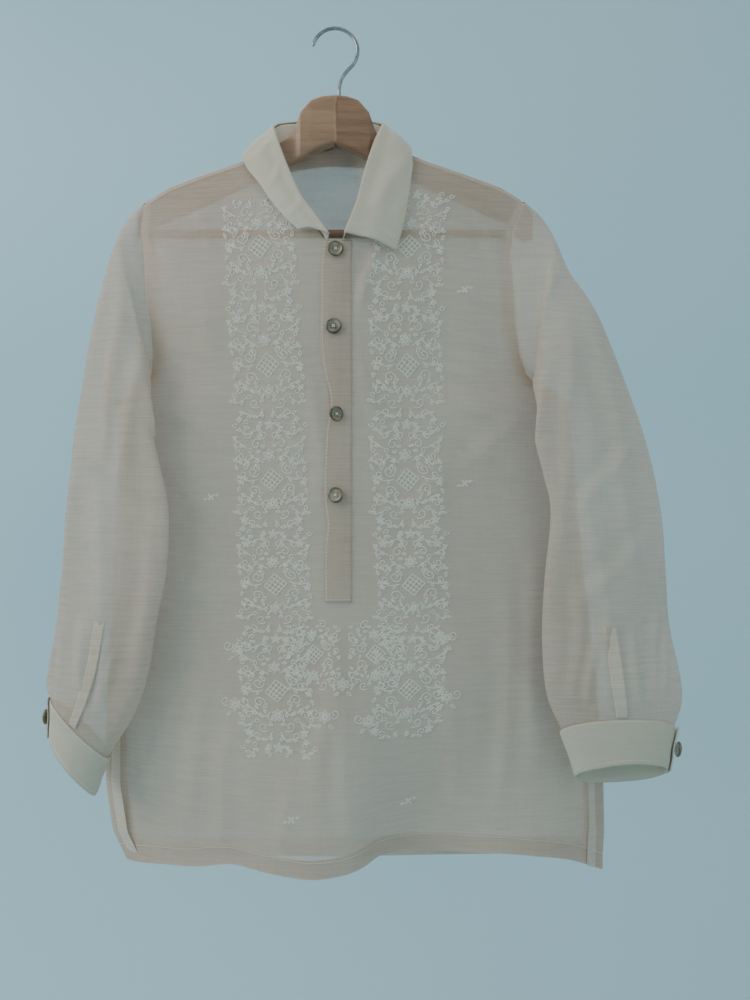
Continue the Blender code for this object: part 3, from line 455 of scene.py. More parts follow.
# Hems: a turned band of 19 mm inside each panel's foot, made from the panel's own lowest rows.
HEM_BAND = 19.0
for name, points, inward, node in (("front_hem_band", front_points, 0.7, "front_hem"),
                                   ("back_hem_band", back_points, -0.7, "back_hem")):
    rise = (points[-4] - points[-1]) / (points[-4] - points[-1])[:, 2:]
    band = points[-1] + rise * np.linspace(HEM_BAND, 0.3, 5)[:, None, None] + (0, inward, 0)
    dressed(name, band, FOLDED, "sheer_cloth", node, flip=inward > 0)

# Vent facings: a turned strip of 19 mm along each side edge, below the vents' tops.
VENT_TOP = -680.0
VENT_FACING = 19.0
for panel, points, inward in (("front", front_points, 0.9), ("back", back_points, -0.9)):
    for side_name, edge, inner in (("left", 0, 1), ("right", -1, -2)):
        low = points[points[:, edge, 2] < VENT_TOP]
        line, toward = low[:, edge], low[:, inner] - low[:, edge]
        toward = toward / np.abs(toward[:, :1])
        strip = line[:, None] + toward[:, None] * np.linspace(0.2, VENT_FACING, 5)[None, :, None] + (0, inward, 0)
        dressed("vent_strip_%s_%s" % (panel, side_name), strip, FOLDED, "sheer_cloth",
                "vent_facing_%s_%s" % (panel, side_name))

# Sleeves: each a tube through the solid's own rings, with long folds down the arm, slack folds at the elbow and small
# gathers above the cuff, on the hidden side too. A row holds the outer and inner ends' x and z, their y, the ring's
# depth, its tilt and its lean.
RIGHT_SLEEVE = (
    (221, -197, 239, -401, 8, -4, 17, 0, 28), (234, -221, 230, -400, 4, -14, 18, 0, 34),
    (247, -254, 223, -400, 0, -22, 17, 0, 33), (263, -279, 215, -400, -3, -30, 16, 0, 22),
    (280, -310, 206, -406, -5, -35, 15, 0, 8), (304, -371, 207, -426, -8, -36, 14, 0, 0),
    (327, -442, 213, -464, -12, -36, 14, 0, 0), (341, -512, 221, -511, -14, -37, 14, 0, 0),
    (345, -575, 215, -573, -16, -38, 15, 0, 0), (348, -628, 212, -626, -18, -38, 16, 1, 0),
    (358, -680, 214, -678, -22, -38, 18, 4, 0), (358, -707, 220, -705, -26, -37, 17, 9, 0),
    (350, -731, 233, -732, -28, -35, 15, 14, 0),
)
LEFT_SLEEVE = (
    (-221, -197, -219, -401, 8, -4, 17, 0, 28), (-232, -219, -210, -400, 4, -14, 18, 0, 34),
    (-241, -250, -202, -399, 0, -22, 17, 0, 34), (-249, -286, -192, -398, -4, -31, 16, 0, 24),
    (-257, -330, -181, -402, -8, -38, 15, 0, 9), (-264, -375, -181, -418, -10, -41, 15, 0, 0),
    (-273, -436, -176, -452, -12, -43, 15, 0, 0), (-280, -507, -166, -508, -14, -44, 15, 0, 0),
    (-283, -569, -168, -569, -16, -44, 17, 0, 0), (-288, -618, -178, -620, -18, -43, 19, 0, 0),
    (-294, -662, -187, -674, -20, -42, 22, 2, 0), (-297, -688, -202, -716, -22, -41, 24, 4, 0),
    (-290, -702, -228, -757, -25, -39, 25, 6, 0),
)
ARMHOLE_FRONT_ROWS = range(0, 11)
ARMHOLE_BACK_ROWS = range(4, 14)
SLEEVE_SIDES = 2 * len(ARMHOLE_FRONT_ROWS)
ARMHOLE_OUT = 1.5
UNDERARM_OUT = 1.8
UNDERARM_STEPS = ((1.0, 3, 2, 2, 0, 0, 3), (0.9, 3, 8, 1, 0, 2, 5), (0.6, -2, 17, -5, 4, 5, 7),
                  (0.12, -4, 22, -14, 16, 14, 13), (0.0, 0, 0, 0, 26, 20, 24), (0.0, 0, 0, 0, 19, 15, 20),
                  (0.0, 0, 0, 0, 6, 5, 8))
UNDERARM_BACK = 0.35
UNDERARM_TWIST = 0.85
UNDERARM_TOP = -330.0
UNDERARM_FADE = 36.0
ARMHOLE_TURN = -350.0
SLEEVE_FOLDS = 4
SLEEVE_FOLD_SHARE = 0.15
RIGHT_CREASES = (
    (252, -262, 292, -500, 9, 2.4), (226, -300, 240, -560, 8, 2.0), (292, -380, 326, -610, 8, 2.0),
    (262, -470, 272, -640, 9, 2.2), (240, -560, 236, -724, 6, 2.0), (262, -600, 262, -728, 5, 2.6),
    (284, -590, 281, -730, 5, 2.4), (304, -610, 300, -730, 5, 2.6), (324, -600, 318, -728, 5, 2.2),
    (346, -620, 336, -726, 5, 2.0), (330, -430, 236, -520, 8, 1.8), (336, -520, 226, -610, 9, 1.7),
    (226, -240, 210, -330, 6, 1.6),
)
LEFT_CREASES = (
    (-222, -230, -248, -470, 8, 2.2), (-205, -300, -212, -520, 8, 2.0), (-252, -420, -270, -640, 8, 2.0),
    (-224, -470, -240, -660, 9, 2.2), (-190, -500, -206, -690, 8, 1.8), (-286, -600, -284, -696, 5, 1.8),
    (-268, -600, -272, -712, 5, 2.2), (-250, -610, -258, -726, 5, 2.4), (-230, -620, -246, -740, 5, 2.2),
    (-212, -630, -234, -750, 5, 1.8), (-272, -430, -182, -500, 8, 1.8), (-278, -520, -176, -590, 9, 1.7),
    (-214, -220, -200, -320, 6, 1.5),
)
FRONT_COLUMNS = 28
BACK_COLUMNS = 20
SLEEVE_FINE = (190, 176)
SLEEVE_TAIL = 4.5


def arm_ring(row, turn, grown=0.0):
    """One ring of a sleeve or cuff: an ellipse from its outer edge round the front to its inner edge."""
    outer_x, outer_z, inner_x, inner_z, outer_y, inner_y, deep, tilt, lean = row
    cosine, sine = np.cos(turn), np.sin(turn)
    long_half = math.hypot(outer_x - inner_x, outer_z - inner_z) / 2
    long_share = (long_half + grown) / long_half
    x = (outer_x + inner_x) / 2 + (outer_x - inner_x) / 2 * cosine * long_share
    x = x - math.copysign(lean, outer_x) * sine * (1 - cosine) / 2
    y = (outer_y + inner_y) / 2 + (outer_y - inner_y) / 2 * cosine - (deep + grown) * sine
    z = (outer_z + inner_z) / 2 + (outer_z - inner_z) / 2 * cosine * long_share + tilt * sine
    return np.stack([x, y, z], axis=1)


def armhole(side, front, back):
    """The seam line round the armhole, just outside the panels' own edges: over the tip, down, and up the back."""
    end = 0 if side < 0 else -1
    down = front[list(ARMHOLE_FRONT_ROWS), end]
    up = back[list(ARMHOLE_BACK_ROWS), end][::-1]
    loop = np.concatenate([[path_point(front[0, end, 0], 0.0)], down, up])
    loop[len(down), 1] = mid_plane(loop[len(down), 0])
    step = np.roll(loop, -1, axis=0) - np.roll(loop, 1, axis=0)
    out = np.stack([np.abs(step[:, 2]), 0 * step[:, 0], np.abs(step[:, 0])], axis=1)
    out[0] = (1, 0, 0)
    out[len(down)] = (1, 0, 0.5)
    out /= np.linalg.norm(out, axis=1)[:, None]
    out[:, 2] *= loop[:, 2] < ARMHOLE_TURN
    out[len(down)] *= UNDERARM_OUT
    out[:, 0] *= side
    return loop + out * ARMHOLE_OUT


def sleeve_rings(side, rows, front, back):
    """The solid's own rings: the armhole, then ellipses with folds, blended to the body at the underarm."""
    turn = circle(SLEEVE_SIDES)
    turn = turn + UNDERARM_TWIST * np.sin(turn / 2) ** 2
    rings = [armhole(side, front, back)]
    past_middle = np.arange(SLEEVE_SIDES) - SLEEVE_SIDES / 2
    tip = np.exp(-(((past_middle - 0.5) / 1.6) ** 2))[:, None]
    behind = np.clip(past_middle / 1.2, 0, 1)[:, None]
    low = eased(np.clip((UNDERARM_TOP - rings[0][:, 2]) / UNDERARM_FADE, 0, 1))[:, None]
    for index, row in enumerate(rows):
        points = arm_ring(row, turn)
        fade = np.clip((index - 3) / 3, 0, 1) * np.clip((len(rows) - 1 - index) / 2, 0, 1)
        wave = SLEEVE_FOLD_SHARE * row[6] * fade * np.sin(SLEEVE_FOLDS * turn + 0.9 + 0.12 * index)
        points[:, 1] -= wave * np.sin(turn)
        if index < len(UNDERARM_STEPS):
            share, out, forward, up, drop, tip_drop, back_out = UNDERARM_STEPS[index]
            points = points * (1 - low * share) + (rings[0] + (side * out, -forward, up)) * low * share
            points = points - low * (0, 0, drop) - tip * (0, 0, tip_drop)
            points = points + low * behind * (side * back_out, UNDERARM_BACK * back_out, 0)
        rings.append(points)
    return np.array(rings)


def refined(grid, rows, columns, ring=False):
    """A finer grid through the same points, by a cubic in each cell along both ways."""
    for axis, count in ((0, rows), (1, columns)):
        points = np.moveaxis(grid, axis, 0)
        size = len(points)
        closed = ring and axis == 1
        at = np.linspace(0, size if closed else size - 1, count, endpoint=not closed)
        cell = np.minimum(at.astype(int), size - 1 if closed else size - 2)
        t = (at - cell)[:, None, None]
        if closed:
            before, start, stop, after = (points[(cell + step) % size] for step in (-1, 0, 1, 2))
        else:
            start, stop = points[cell], points[cell + 1]
            before = np.where((cell > 0)[:, None, None], points[np.maximum(cell - 1, 0)], 2 * start - stop)
            after = np.where((cell < size - 2)[:, None, None], points[np.minimum(cell + 2, size - 1)], 2 * stop - start)
        fine = 0.5 * (2 * start + (stop - before) * t + (2 * before - 5 * start + 4 * stop - after) * t**2
                      + (3 * start - before - 3 * stop + after) * t**3)
        grid = np.moveaxis(fine, 0, axis)
    return grid


def circle(count):
    """Evenly spaced angles round a full turn."""
    return np.linspace(0, 2 * np.pi, count, endpoint=False)


def one_long(vectors, least=0.0):
    """Vectors brought to a length of one."""
    return vectors / (np.linalg.norm(vectors, axis=-1, keepdims=True) + least)


def solid_columns(count, neck, extra):
    """The columns of a panel's solid: even ones outside the neck, and the extra ones."""
    even = np.linspace(-1, 1, count)
    return spaced(even[(even <= neck[0]) | (even >= neck[-1])], extra, 0.02)


SLEEVE_SHEER = cloth("sheer_weave_sleeve", "e3cebb", "d2baa5", 0.60, 0.69)
coarse_front = front_grid(solid_columns(FRONT_COLUMNS, neck_u, [*slit, *neck_u]), FRONT_ROWS, ())
coarse_back = back_grid(solid_columns(BACK_COLUMNS, back_neck_u, back_neck_u), BACK_ROWS, ())
coarse_rings = {}
for side, side_name, rows, marks in ((-1, "left", LEFT_SLEEVE, LEFT_CREASES),
                                     (1, "right", RIGHT_SLEEVE, RIGHT_CREASES)):
    coarse_rings[side_name] = sleeve_rings(side, rows, coarse_front, coarse_back)
    rings = refined(coarse_rings[side_name], *SLEEVE_FINE, ring=True)
    around = (np.roll(rings, -1, axis=1) - np.roll(rings, 1, axis=1)) / 2
    normal = one_long(np.cross(np.gradient(rings, axis=0), around), 1e-9)
    normal *= np.sign((normal * (rings - rings.mean(axis=1)[:, None])).sum(axis=2).mean())
    facing = np.clip(-normal[:, :, 1] / 0.4, -1, 1)
    hidden = tuple((x0 + 9, z0 + 20, x1 - 6, z1 + 8, *size) for x0, z0, x1, z1, *size in marks)
    height = np.where(facing > 0, creases(rings[:, :, 0], rings[:, :, 2], marks),
                      creases(rings[:, :, 0], rings[:, :, 2], hidden)) * np.abs(facing)
    from_end = np.minimum(np.arange(SLEEVE_FINE[0]), SLEEVE_FINE[0] - 1 - np.arange(SLEEVE_FINE[0]))
    height = height * np.clip(from_end / 14 - 0.6, 0, 1)[:, None]
    rings = rings + normal * height[:, :, None]
    tail = rings[-1] + one_long(rings[-1] - rings[-2]) * SLEEVE_TAIL
    rings = np.concatenate([rings, [tail + (tail.mean(axis=0) - tail) * 0.02]])
    dressed("sleeve_cloth_" + side_name, rings, SLEEVE_SHEER, "sheer_cloth", "sleeve_" + side_name, ring=True,
            flip=side < 0)

# Sleeve laps: the narrow strip that binds the slit above each cuff, 1.8 mm out on the sleeve's front.
LAP_LIFT = 1.8
LAP_COLUMN = 4
LAP_SHARES = (0.25, 0.5, 0.75)
LAP_TOP_RING = 10
for side_name, rings in coarse_rings.items():
    inner, outer = rings[LAP_TOP_RING:, LAP_COLUMN], rings[LAP_TOP_RING:, LAP_COLUMN + 1]
    lap = inner[:, None] + (outer - inner)[:, None] * np.array(LAP_SHARES)[None, :, None]
    lap[-1] += (lap[-2] - lap[-1]) * 0.05
    out = np.cross(outer[0] - inner[0], lap[-1, 1] - lap[0, 1])
    out *= -np.sign(out[1]) / np.linalg.norm(out)
    dressed("sleeve_lap_cloth_" + side_name, refined(lap + out * LAP_LIFT, 40, 8), FOLDED, "sheer_cloth",
            "sleeve_lap_" + side_name, thickness=0.5)

# Armhole seams: the turned allowance, 9.5 mm wide, shows as a paler curve inside each armhole, front and back.
ALLOWANCE = (-2.5, 7.0)
ALLOWANCE_FOOT = -398
for side, side_name in ((-1, "left"), (1, "right")):
    end = 0 if side < 0 else -1
    for panel, points, inward in (("front", front_points, 0.8), ("back", back_points, -0.8)):
        line = points[(points[:, end, 2] > ALLOWANCE_FOOT), end]
        strip = line[:, None] + np.linspace(*ALLOWANCE, 5)[None, :, None] * np.array([-side, 0, 0]) + (0, inward, 0)
        dressed("armhole_allowance_%s_%s" % (panel, side_name), strip, FOLDED, "sheer_cloth")

# Cuffs: a lined band 42 and 50 mm deep, wrapped round and over its own start, a little wavy at its free edge.
LEFT_CUFF = (-290, -745, -243, -796, -26, -38, 24, 6, 0)
RIGHT_CUFF = (342, -777, 249, -780, -27, -35, 15, 14, 0)
CUFF_START = -15.0
CUFF_STEP = 15.0
CUFF_SIDES = 27
CUFF_SEAM = 1.3
CUFF_STEP_OUT = 3.6
# Cloth over a lining: matt and closed, so nothing shows through.
LINED = cloth("lined_weave", "dacdb8", "cdbea7", 0.985, 1.0, bump=0.2)
cuffs = {}
for side_name, top_row, foot_row in (("left", LEFT_SLEEVE[-1], LEFT_CUFF), ("right", RIGHT_SLEEVE[-1], RIGHT_CUFF)):
    count = (CUFF_SIDES - 1) * 6 + 1
    turn = np.radians(CUFF_START + CUFF_STEP * np.linspace(0, CUFF_SIDES - 1, count))
    step_out = CUFF_STEP_OUT * np.linspace(0, 1, count)
    top, foot = (np.concatenate([arm_ring(row, turn[i:i + 1], step_out[i]) for i in range(count)])
                 for row in (top_row, foot_row))
    top = top + one_long((foot - top).mean(axis=0)) * CUFF_SEAM
    share = np.linspace(0, 1, 22)[:, None, None]
    out = one_long((top + foot) / 2 - (top + foot).mean(axis=0) / 2)
    wave = 0.7 * share * np.sin(5 * turn)[None, :, None] + 0.35 * np.sin(9 * share + 2 * turn[None, :, None])
    cuffs[side_name] = top + (foot - top) * share + out * wave
    dressed("cuff_cloth_" + side_name, cuffs[side_name], LINED, "collar_cloth", "cuff_" + side_name, thickness=1.2,
            flip=True)

# Collar: the fall rolls from the stand and spreads to its points, with a few soft dents in the leaves. A row holds a
# point of the roll, one of the fall's edge and one of the seam at the neck, each by its place and length of cloth.
COLLAR = by_name("roll_x roll_y roll_z edge_x edge_along stand_off neck_x neck_along", (
    (-4, -46, -231, -35, -125, 6.0, -4, -150.5), (-18, -42, -211, -48, -107, 6.0, -18, -129),
    (-34, -37, -188, -65, -71, 5.0, -34, -101.5), (-47, -30, -158, -76, -47, 5.0, -47, -68),
    (-58, -19, -128, -90, -22, 5.5, -59, -28), (-62, -10, -113, -94, -12, 6.0, -63.5, -14),
    (-64, -2, -105, -96, -7, 6.0, -65.5, -5), (-65, 5, -101, -97, 0, 6.0, -64, 0),
    (-62, 12, -95, -94, 11, 6.0, -60, 9), (-55, 18, -91, -80, 25, 5.5, -52, 17),
    (-34, 23, -87, -42, 37, 5.0, -33, 23.5), (-8, 25, -86, -8, 43, 5.0, -8, 29),
    (18, 23, -87, 28, 39, 5.0, 18, 26.5), (38, 18, -90, 60, 25, 5.5, 37, 19.5),
    (46, 12, -94, 76, 11, 6.0, 44, 13), (49, 5, -98, 80, 0, 6.0, 47.5, 5),
    (49, -2, -103, 80.5, -7, 6.0, 49.5, -3), (47, -13, -113, 81, -13, 6.0, 48.5, -15),
    (41, -20, -131, 81, -25, 5.5, 40, -44), (32, -30, -163, 78, -52, 5.0, 32, -77),
    (24, -39, -197, 73, -87, 6.0, 24, -113), (12, -47, -231, 64, -127, 7.0, 11, -149),
))
COLLAR_ROWS = 5
COLLAR_LIFT = 5.0
ROLL_OUT = 2.6
ROLL_UP = 1.2
STAND_UNDER_ROLL = 2.1
STAND_FOOT_UP = 2.4
STAND_FOOT_IN = 2.6
COLLAR_CREASES = (
    (84, -128, 24, -212, 9, 1.6), (70, -176, 66, -240, 7, 0.8), (-58, -122, -84, -148, 4, 1.0),
    (-48, -150, -70, -182, 4, 1.0), (-30, -186, -46, -214, 4, 0.9),
)
roll = np.stack([COLLAR["roll_" + axis] for axis in "xyz"], axis=1)
edge = path_point(COLLAR["edge_x"], COLLAR["edge_along"], COLLAR["stand_off"])
away = one_long((edge - roll) * (1, 1, 0))
up = np.array([0, 0, 1.0])
facing = np.clip(roll[:, 1] / 20, -1, 1)[:, None]
outward = facing * np.array([0, 1.0, 0])
over = one_long(outward + away * (1 - 0.7 * np.abs(facing)))
arch = away * 0.2 + up * 0.6 + outward * 0.75
rows = [roll, roll + over * ROLL_OUT + up * ROLL_UP]
rows += [roll + (edge - roll) * share + arch * COLLAR_LIFT * math.sin(math.pi * share)
         for share in np.linspace(0, 1, COLLAR_ROWS)[1:]]
fall = refined(np.array(rows), 60, 260)
fall[:, :, 1] -= creases(fall[:, :, 0], fall[:, :, 2], COLLAR_CREASES) * (fall[:, :, 1] < -12)
dressed("collar_leaf_cloth", fall, LINED, "collar_cloth", "collar_fall", thickness=1.3, flip=True)

foot = path_point(COLLAR["neck_x"], COLLAR["neck_along"])
along = COLLAR["neck_along"][:, None]
clear = np.clip((np.abs(along) - 5) / 14, 0, 1)
inward = one_long(np.array([NECK_CENTRE_X, 0, 0]) - foot * (1, 0, 0), 1)
inward[along[:, 0] > 0, 1] = -1
foot = foot + up * (STAND_FOOT_UP + clear) + inward * STAND_FOOT_IN * clear
top = roll + one_long(foot - roll) * STAND_UNDER_ROLL - over * 0.5
stand = refined(top + (foot - top) * np.linspace(0, 1, 3)[:, None, None], 16, 240)
dressed("collar_stand_cloth", stand, LINED, "collar_cloth", "collar_stand", thickness=0.9)

# Placket: the overlap, 27 mm wide, lies on the front with a wavy free edge, and the underlap lies behind it.
PLACKET_LEFT = -8.5
PLACKET_WIDTH = 27.0
PLACKET_TOP = -243.0
PLACKET_FOOT = -602.0
UNDERLAP_LEFT = -6.0
UNDERLAP_WIDTH = 24.0
PLACKET_RISE = 9.0
placket_z = np.linspace(PLACKET_TOP + PLACKET_RISE, PLACKET_FOOT, 140)
left_edge = free_edge(placket_z)
share = np.linspace(0, 1, 14)
overlap_x = left_edge[:, None] + (PLACKET_LEFT + PLACKET_WIDTH - left_edge[:, None]) * share
deep = np.broadcast_to(placket_z[:, None], overlap_x.shape)
puff = 0.5 * np.sin(np.pi * share)[None] + 0.5 * np.sin(placket_z / 17)[:, None] * (1 - share)[None]
overlap = np.stack([overlap_x, front_surface(overlap_x, deep)[:, :, 1] - 1.3 - puff, deep], axis=2)
dressed("placket_over_cloth", overlap, SHEER, "double_cloth", "placket_overlap", thickness=0.7, flip=True)
under_x = UNDERLAP_LEFT + UNDERLAP_WIDTH * share[None] + 0 * placket_z[:, None]
underlap = np.stack([under_x, front_surface(under_x, deep)[:, :, 1] + 2.0, deep], axis=2)
dressed("placket_under_cloth", underlap, FOLDED, "double_cloth", "placket_underlap", thickness=0.5, flip=True)

# Embroidery: raised thread 0.95 mm wide on the front, in two bands of six repeats, a lower group between them and a
# few loose sprigs. Each repeat, 117 mm tall, has a lattice with flowers, leaves, curls and stems on both sides.
UNIT_HEIGHT = 117
UNIT_SPREAD = 1.04
SWAY_PHASE = 15
THREAD_OFF = 0.35
BAND_THREAD = (0.95, 0.65)
LOW_SCALE = (0.85, 0.85 * 0.95)
LOW_LIMITS = (33, 44)
CURLS = (
    (17, 10, 6.0, 1.3, 0.45, 1), (18, -11, 6.0, 1.3, 0.55, -1), (12, 37, 5.5, 1.2, 0.4, -1),
    (13, -38, 5.5, 1.2, 0.6, 1), (27, 26, 4.5, 1.2, 0.5, 1), (28, -27, 4.5, 1.2, 0.5, -1), (6, 44, 3.6, 1.1, 0.2, 1),
    (27, 6, 4.0, 1.2, 0.7, 1), (21, 47, 4.2, 1.2, 0.3, 1), (20, -49, 4.2, 1.2, 0.7, -1),
)
LEAVES = (
    (12, 18, 0.3, 5, 2.2), (13, -18, -0.3, 5, 2.2), (4, 33, 0.05, 5, 2.2), (4, -34, -0.05, 5, 2.2),
    (21, 19, 0.12, 5, 2.2), (22, -20, -0.12, 5, 2.2), (34, 20, 0.32, 5, 2.2), (34, -20, -0.32, 5, 2.2),
    (9, 52, 0.1, 5, 2.2), (10, 12, 0.14, 7, 3.2), (10, -12, -0.14, 7, 3.2), (33, 10, 0.2, 6, 2.6),
    (33, -9, -0.2, 6, 2.6), (20, 54, 0.05, 6, 2.6), (8, 46, 0.22, 5, 2.4),
)
STEMS = (
    (((6, 18), (16, 24), (27, 17), (34, 22)), 5), (((6, -20), (15, -27), (26, -19), (34, -25)), 5),
    (((4, 38), (12, 50), (24, 48), (31, 56)), 5), (((4, -42), (11, -53), (23, -50), (32, -57)), 5),
    (((14, 2), (24, 0), (34, 4)), 3), (((22, 34), (31, 40), (35, 36)), 3), (((22, -34), (31, -40), (35, -36)), 3),
)
SPOTS = ((10, 30), (19, 31), (31, 32), (9, -31), (20, -33), (33, -31), (12, 59), (24, 60), (35, 58), (34, 46), (5, -49),
         (29, -56), (12, -60), (14, 14), (25, 15), (24, -14))


def curl(x, z, radius, turns, start, hand):
    """A spiral that winds in from its rim: start is the rim's angle in turns, hand is 1 or -1."""
    t = np.linspace(0, 1, int(14 * turns) + 8)
    angle = 2 * np.pi * (start + hand * turns * t)
    reach = radius * (1 - 0.82 * t)
    return [np.stack([x + reach * np.cos(angle), z + reach * np.sin(angle)], axis=1)]


def leaf(x, z, angle, length, width, gap=1.3):
    """A leaf of satin stitches: an outline, and a thread that runs from side to side inside it."""
    angle = 2 * np.pi * angle
    along, side = np.array([math.cos(angle), math.sin(angle)]), np.array([-math.sin(angle), math.cos(angle)])
    t = np.linspace(0, 1, 12)
    half = width / 2 * np.sin(np.pi * t**0.8)
    rim = np.concatenate([t[:, None] * length * along + half[:, None] * side,
                          t[::-1, None] * length * along - half[::-1, None] * side])
    steps = max(4, int(length / gap))
    s = (np.arange(steps) + 0.5) / steps
    swing = width / 2 * np.sin(np.pi * s**0.8) * np.where(np.arange(steps) % 2, 1, -1)
    fill = s[:, None] * length * along + swing[:, None] * side
    return [rim + (x, z), fill + (x, z)]


def flower(x, z, radius, petals, start=0.25):
    """Satin petals round a small ring."""
    t = 2 * np.pi * np.linspace(0, 1, 14)
    paths = [np.stack([x + 0.2 * radius * np.cos(t), z + 0.2 * radius * np.sin(t)], axis=1)]
    for angle in start + np.arange(petals) / petals:
        turn = 2 * np.pi * angle
        paths += leaf(x + 0.28 * radius * math.cos(turn), z + 0.28 * radius * math.sin(turn), angle, 0.72 * radius,
                      0.42 * radius)
    return paths


def lattice(half, lines):
    """Crossing threads inside a diamond."""
    paths = []
    reach = np.linspace(-half, half, 9)
    for level in np.linspace(-half, half, lines):
        for a, b in ((reach, 0 * reach + level), (0 * reach + level, reach)):
            paths.append(np.stack([(a - b) / 1.5, (a + b) / 1.5], axis=1))
    return paths


def stem(points, leaves):
    """A curved thread through its points, with small leaves to either side."""
    points = np.array(points, float)
    line = refined(points[:, None], 6 * len(points), 1)[:, 0]
    paths = [line]
    for number in range(leaves):
        at = int((number + 0.7) / leaves * (len(line) - 2))
        step = line[at + 1] - line[at]
        angle = math.atan2(step[1], step[0]) / (2 * np.pi)
        paths += leaf(*line[at], angle + (0.13 if number % 2 else -0.13), 5.2, 2.4)
    return paths


def unit(odd):
    """One repeat of a band about its lattice, in its own frame, swayed by two sines. Odd repeats differ a little."""
    half = [path for row in CURLS for path in curl(*row)] + [path for row in LEAVES for path in leaf(*row)]
    half += [path for row in STEMS for path in stem(*row)]
    half += flower(27, 47 if odd else -46, 4.6, 5) + flower(31, -3, 3.6, 5)
    for number, (x, z) in enumerate(SPOTS):
        half += (curl(x, z, 3.0, 1.1, 0.13 * number, 1 if number % 2 else -1) if number % 3
                 else leaf(x - 2, z - 1, 0.11 * number, 5, 2.2))
    paths = lattice(8.5, 5) + flower(0, 24, 6.5, 6 + odd) + flower(0, -25, 6.5, 7 - odd) + flower(0, 55, 5.5, 5)
    paths += half + [path * (-1, 1) for path in half]
    return [path + np.stack([1.3 * np.sin(path[:, 1] / 13 + SWAY_PHASE),
                             1.6 * np.sin(path[:, 0] / 9 + path[:, 1] / 30)], axis=1) for path in paths]


def thread(name, paths, outs, width, height, slot):
    """All paths as one mesh of ridges: two feet on the cloth and a crest between them, at each point."""
    points, faces, base = [], [], 0
    for path, out in zip(paths, outs):
        side = one_long(np.cross(np.gradient(path, axis=0), out), 1e-9) * width / 2
        points.append(np.stack([path + side, path + out * height, path - side], axis=1).reshape(-1, 3))
        first = base + 3 * np.arange(len(path) - 1)[:, None]
        faces += [first + (0, 1, 4, 3), first + (1, 2, 5, 4)]
        base += 3 * len(path)
    stands_for(smooth_mesh(name, np.concatenate(points), np.concatenate(faces), STITCH), slot)


def embroidered(name, paths, width, height):
    """Thread along paths of x and z, raised to the dressed front."""
    paths = [front_surface(path[:, 0], path[:, 1]) + FORWARD * THREAD_OFF for path in paths]
    thread(name, paths, [FORWARD] * len(paths), width, height, "sheer_cloth")


def two_tone(name, roughness, cell, detail, reach, dark, pale, **gloss):
    """A material of two tones in soft patches of so many millimetres. A small reach makes their edges sharper."""
    made, tree, shader, place = blank(name, roughness, **gloss)
    coloured(tree, shader, pattern(tree, place, (cell,) * 3, detail, levels(0.5 - reach, 0.5 + reach)), dark, pale)
    return made, tree, shader, place


# Mercerised thread: paler than the cloth, with a soft shine and a fine change of tone from strand to strand.
STITCH = two_tone("embroidery_thread", 0.45, 1.111, 1.0, 0.2, "f6e6d2", "fff8ec", sheen=0.3)[0]
FORWARD = np.array([0, -1.0, 0])
LATTICE_HEIGHTS = np.array([-121.0, -238.5, -360.6, -477.6, -584.5, -691.3, -800.0])
BANDS = (
    ("left", -186.0, -758.0,
     ((-194, -78), (-242, -76), (-360, -68), (-478, -64), (-589, -60), (-690, -58), (-756, -54))),
    ("right", -176.0, -742.0,
     ((-177, 86), (-242, 76), (-360, 75), (-478, 75), (-589, 81), (-690, 77), (-740, 70))),
)
for side_name, top, bottom, centres in BANDS:
    centres = np.array(centres, float)
    paths = []
    for number in range(6):
        for path in unit(number % 2):
            z = np.interp(number - path[:, 1] / UNIT_HEIGHT, np.arange(-1, 6), LATTICE_HEIGHTS)
            if z.max() < top and z.min() > bottom:
                x = smooth(-z, -centres[:, 0], centres[:, 1]) + path[:, 0] * UNIT_SPREAD
                paths.append(np.stack([x, z], axis=1))
    embroidered("embroidery_band_" + side_name, paths, *BAND_THREAD)

# The low group is the middle of two repeats, a little smaller, with seven loose flowers.
paths = [path * LOW_SCALE + (x, -655) for x in (-20.5, 42.4) for path in unit(0)
         if (np.abs(path).max(axis=0) < LOW_LIMITS).all()]
for x, z in ((10, -684), (-8, -716), (36, -722), (112, -640), (116, -700), (-98, -650), (-100, -706)):
    paths += flower(x, z, 6.5, 6) + curl(x + 10, z + 3, 5.5, 1.3, 0.5, 1) + curl(x - 10, z + 3, 5.5, 1.3, 0.0, -1)
    paths += leaf(x + 4, z - 8, -0.1, 6, 2.6) + leaf(x - 4, z - 8, -0.4, 6, 2.6)
embroidered("embroidery_low_group", paths, *BAND_THREAD)

paths = []
for x, z in ((135, -281), (135, -481), (-127, -495), (-41, -817), (77, -811)):
    paths += flower(x, z, 4.2, 4, start=0.125) + leaf(x + 4, z + 2, 0.02, 4.5, 2.0) + leaf(x - 4, z - 2, 0.52, 4.5, 2.0)
embroidered("embroidery_sprigs", paths, 0.8, 0.4)

# Top-stitching: running stitches 2.4 mm long and 1.2 mm apart beside the edges of the collar, placket, cuffs and hem. A
# seam without a direction has its stitches face away from its middle.
STITCH_LENGTH = 2.4
STITCH_GAP = 1.2


def dashed(line):
    """Running stitches along a line of points in space."""
    length = np.concatenate([[0], np.cumsum(np.linalg.norm(np.diff(line, axis=0), axis=1))])
    starts = np.arange(STITCH_GAP, length[-1] - STITCH_LENGTH, STITCH_LENGTH + STITCH_GAP)
    at = starts[:, None] + np.linspace(0, STITCH_LENGTH, 3)
    return [np.stack([np.interp(row, length, line[:, axis]) for axis in range(3)], axis=1) for row in at]


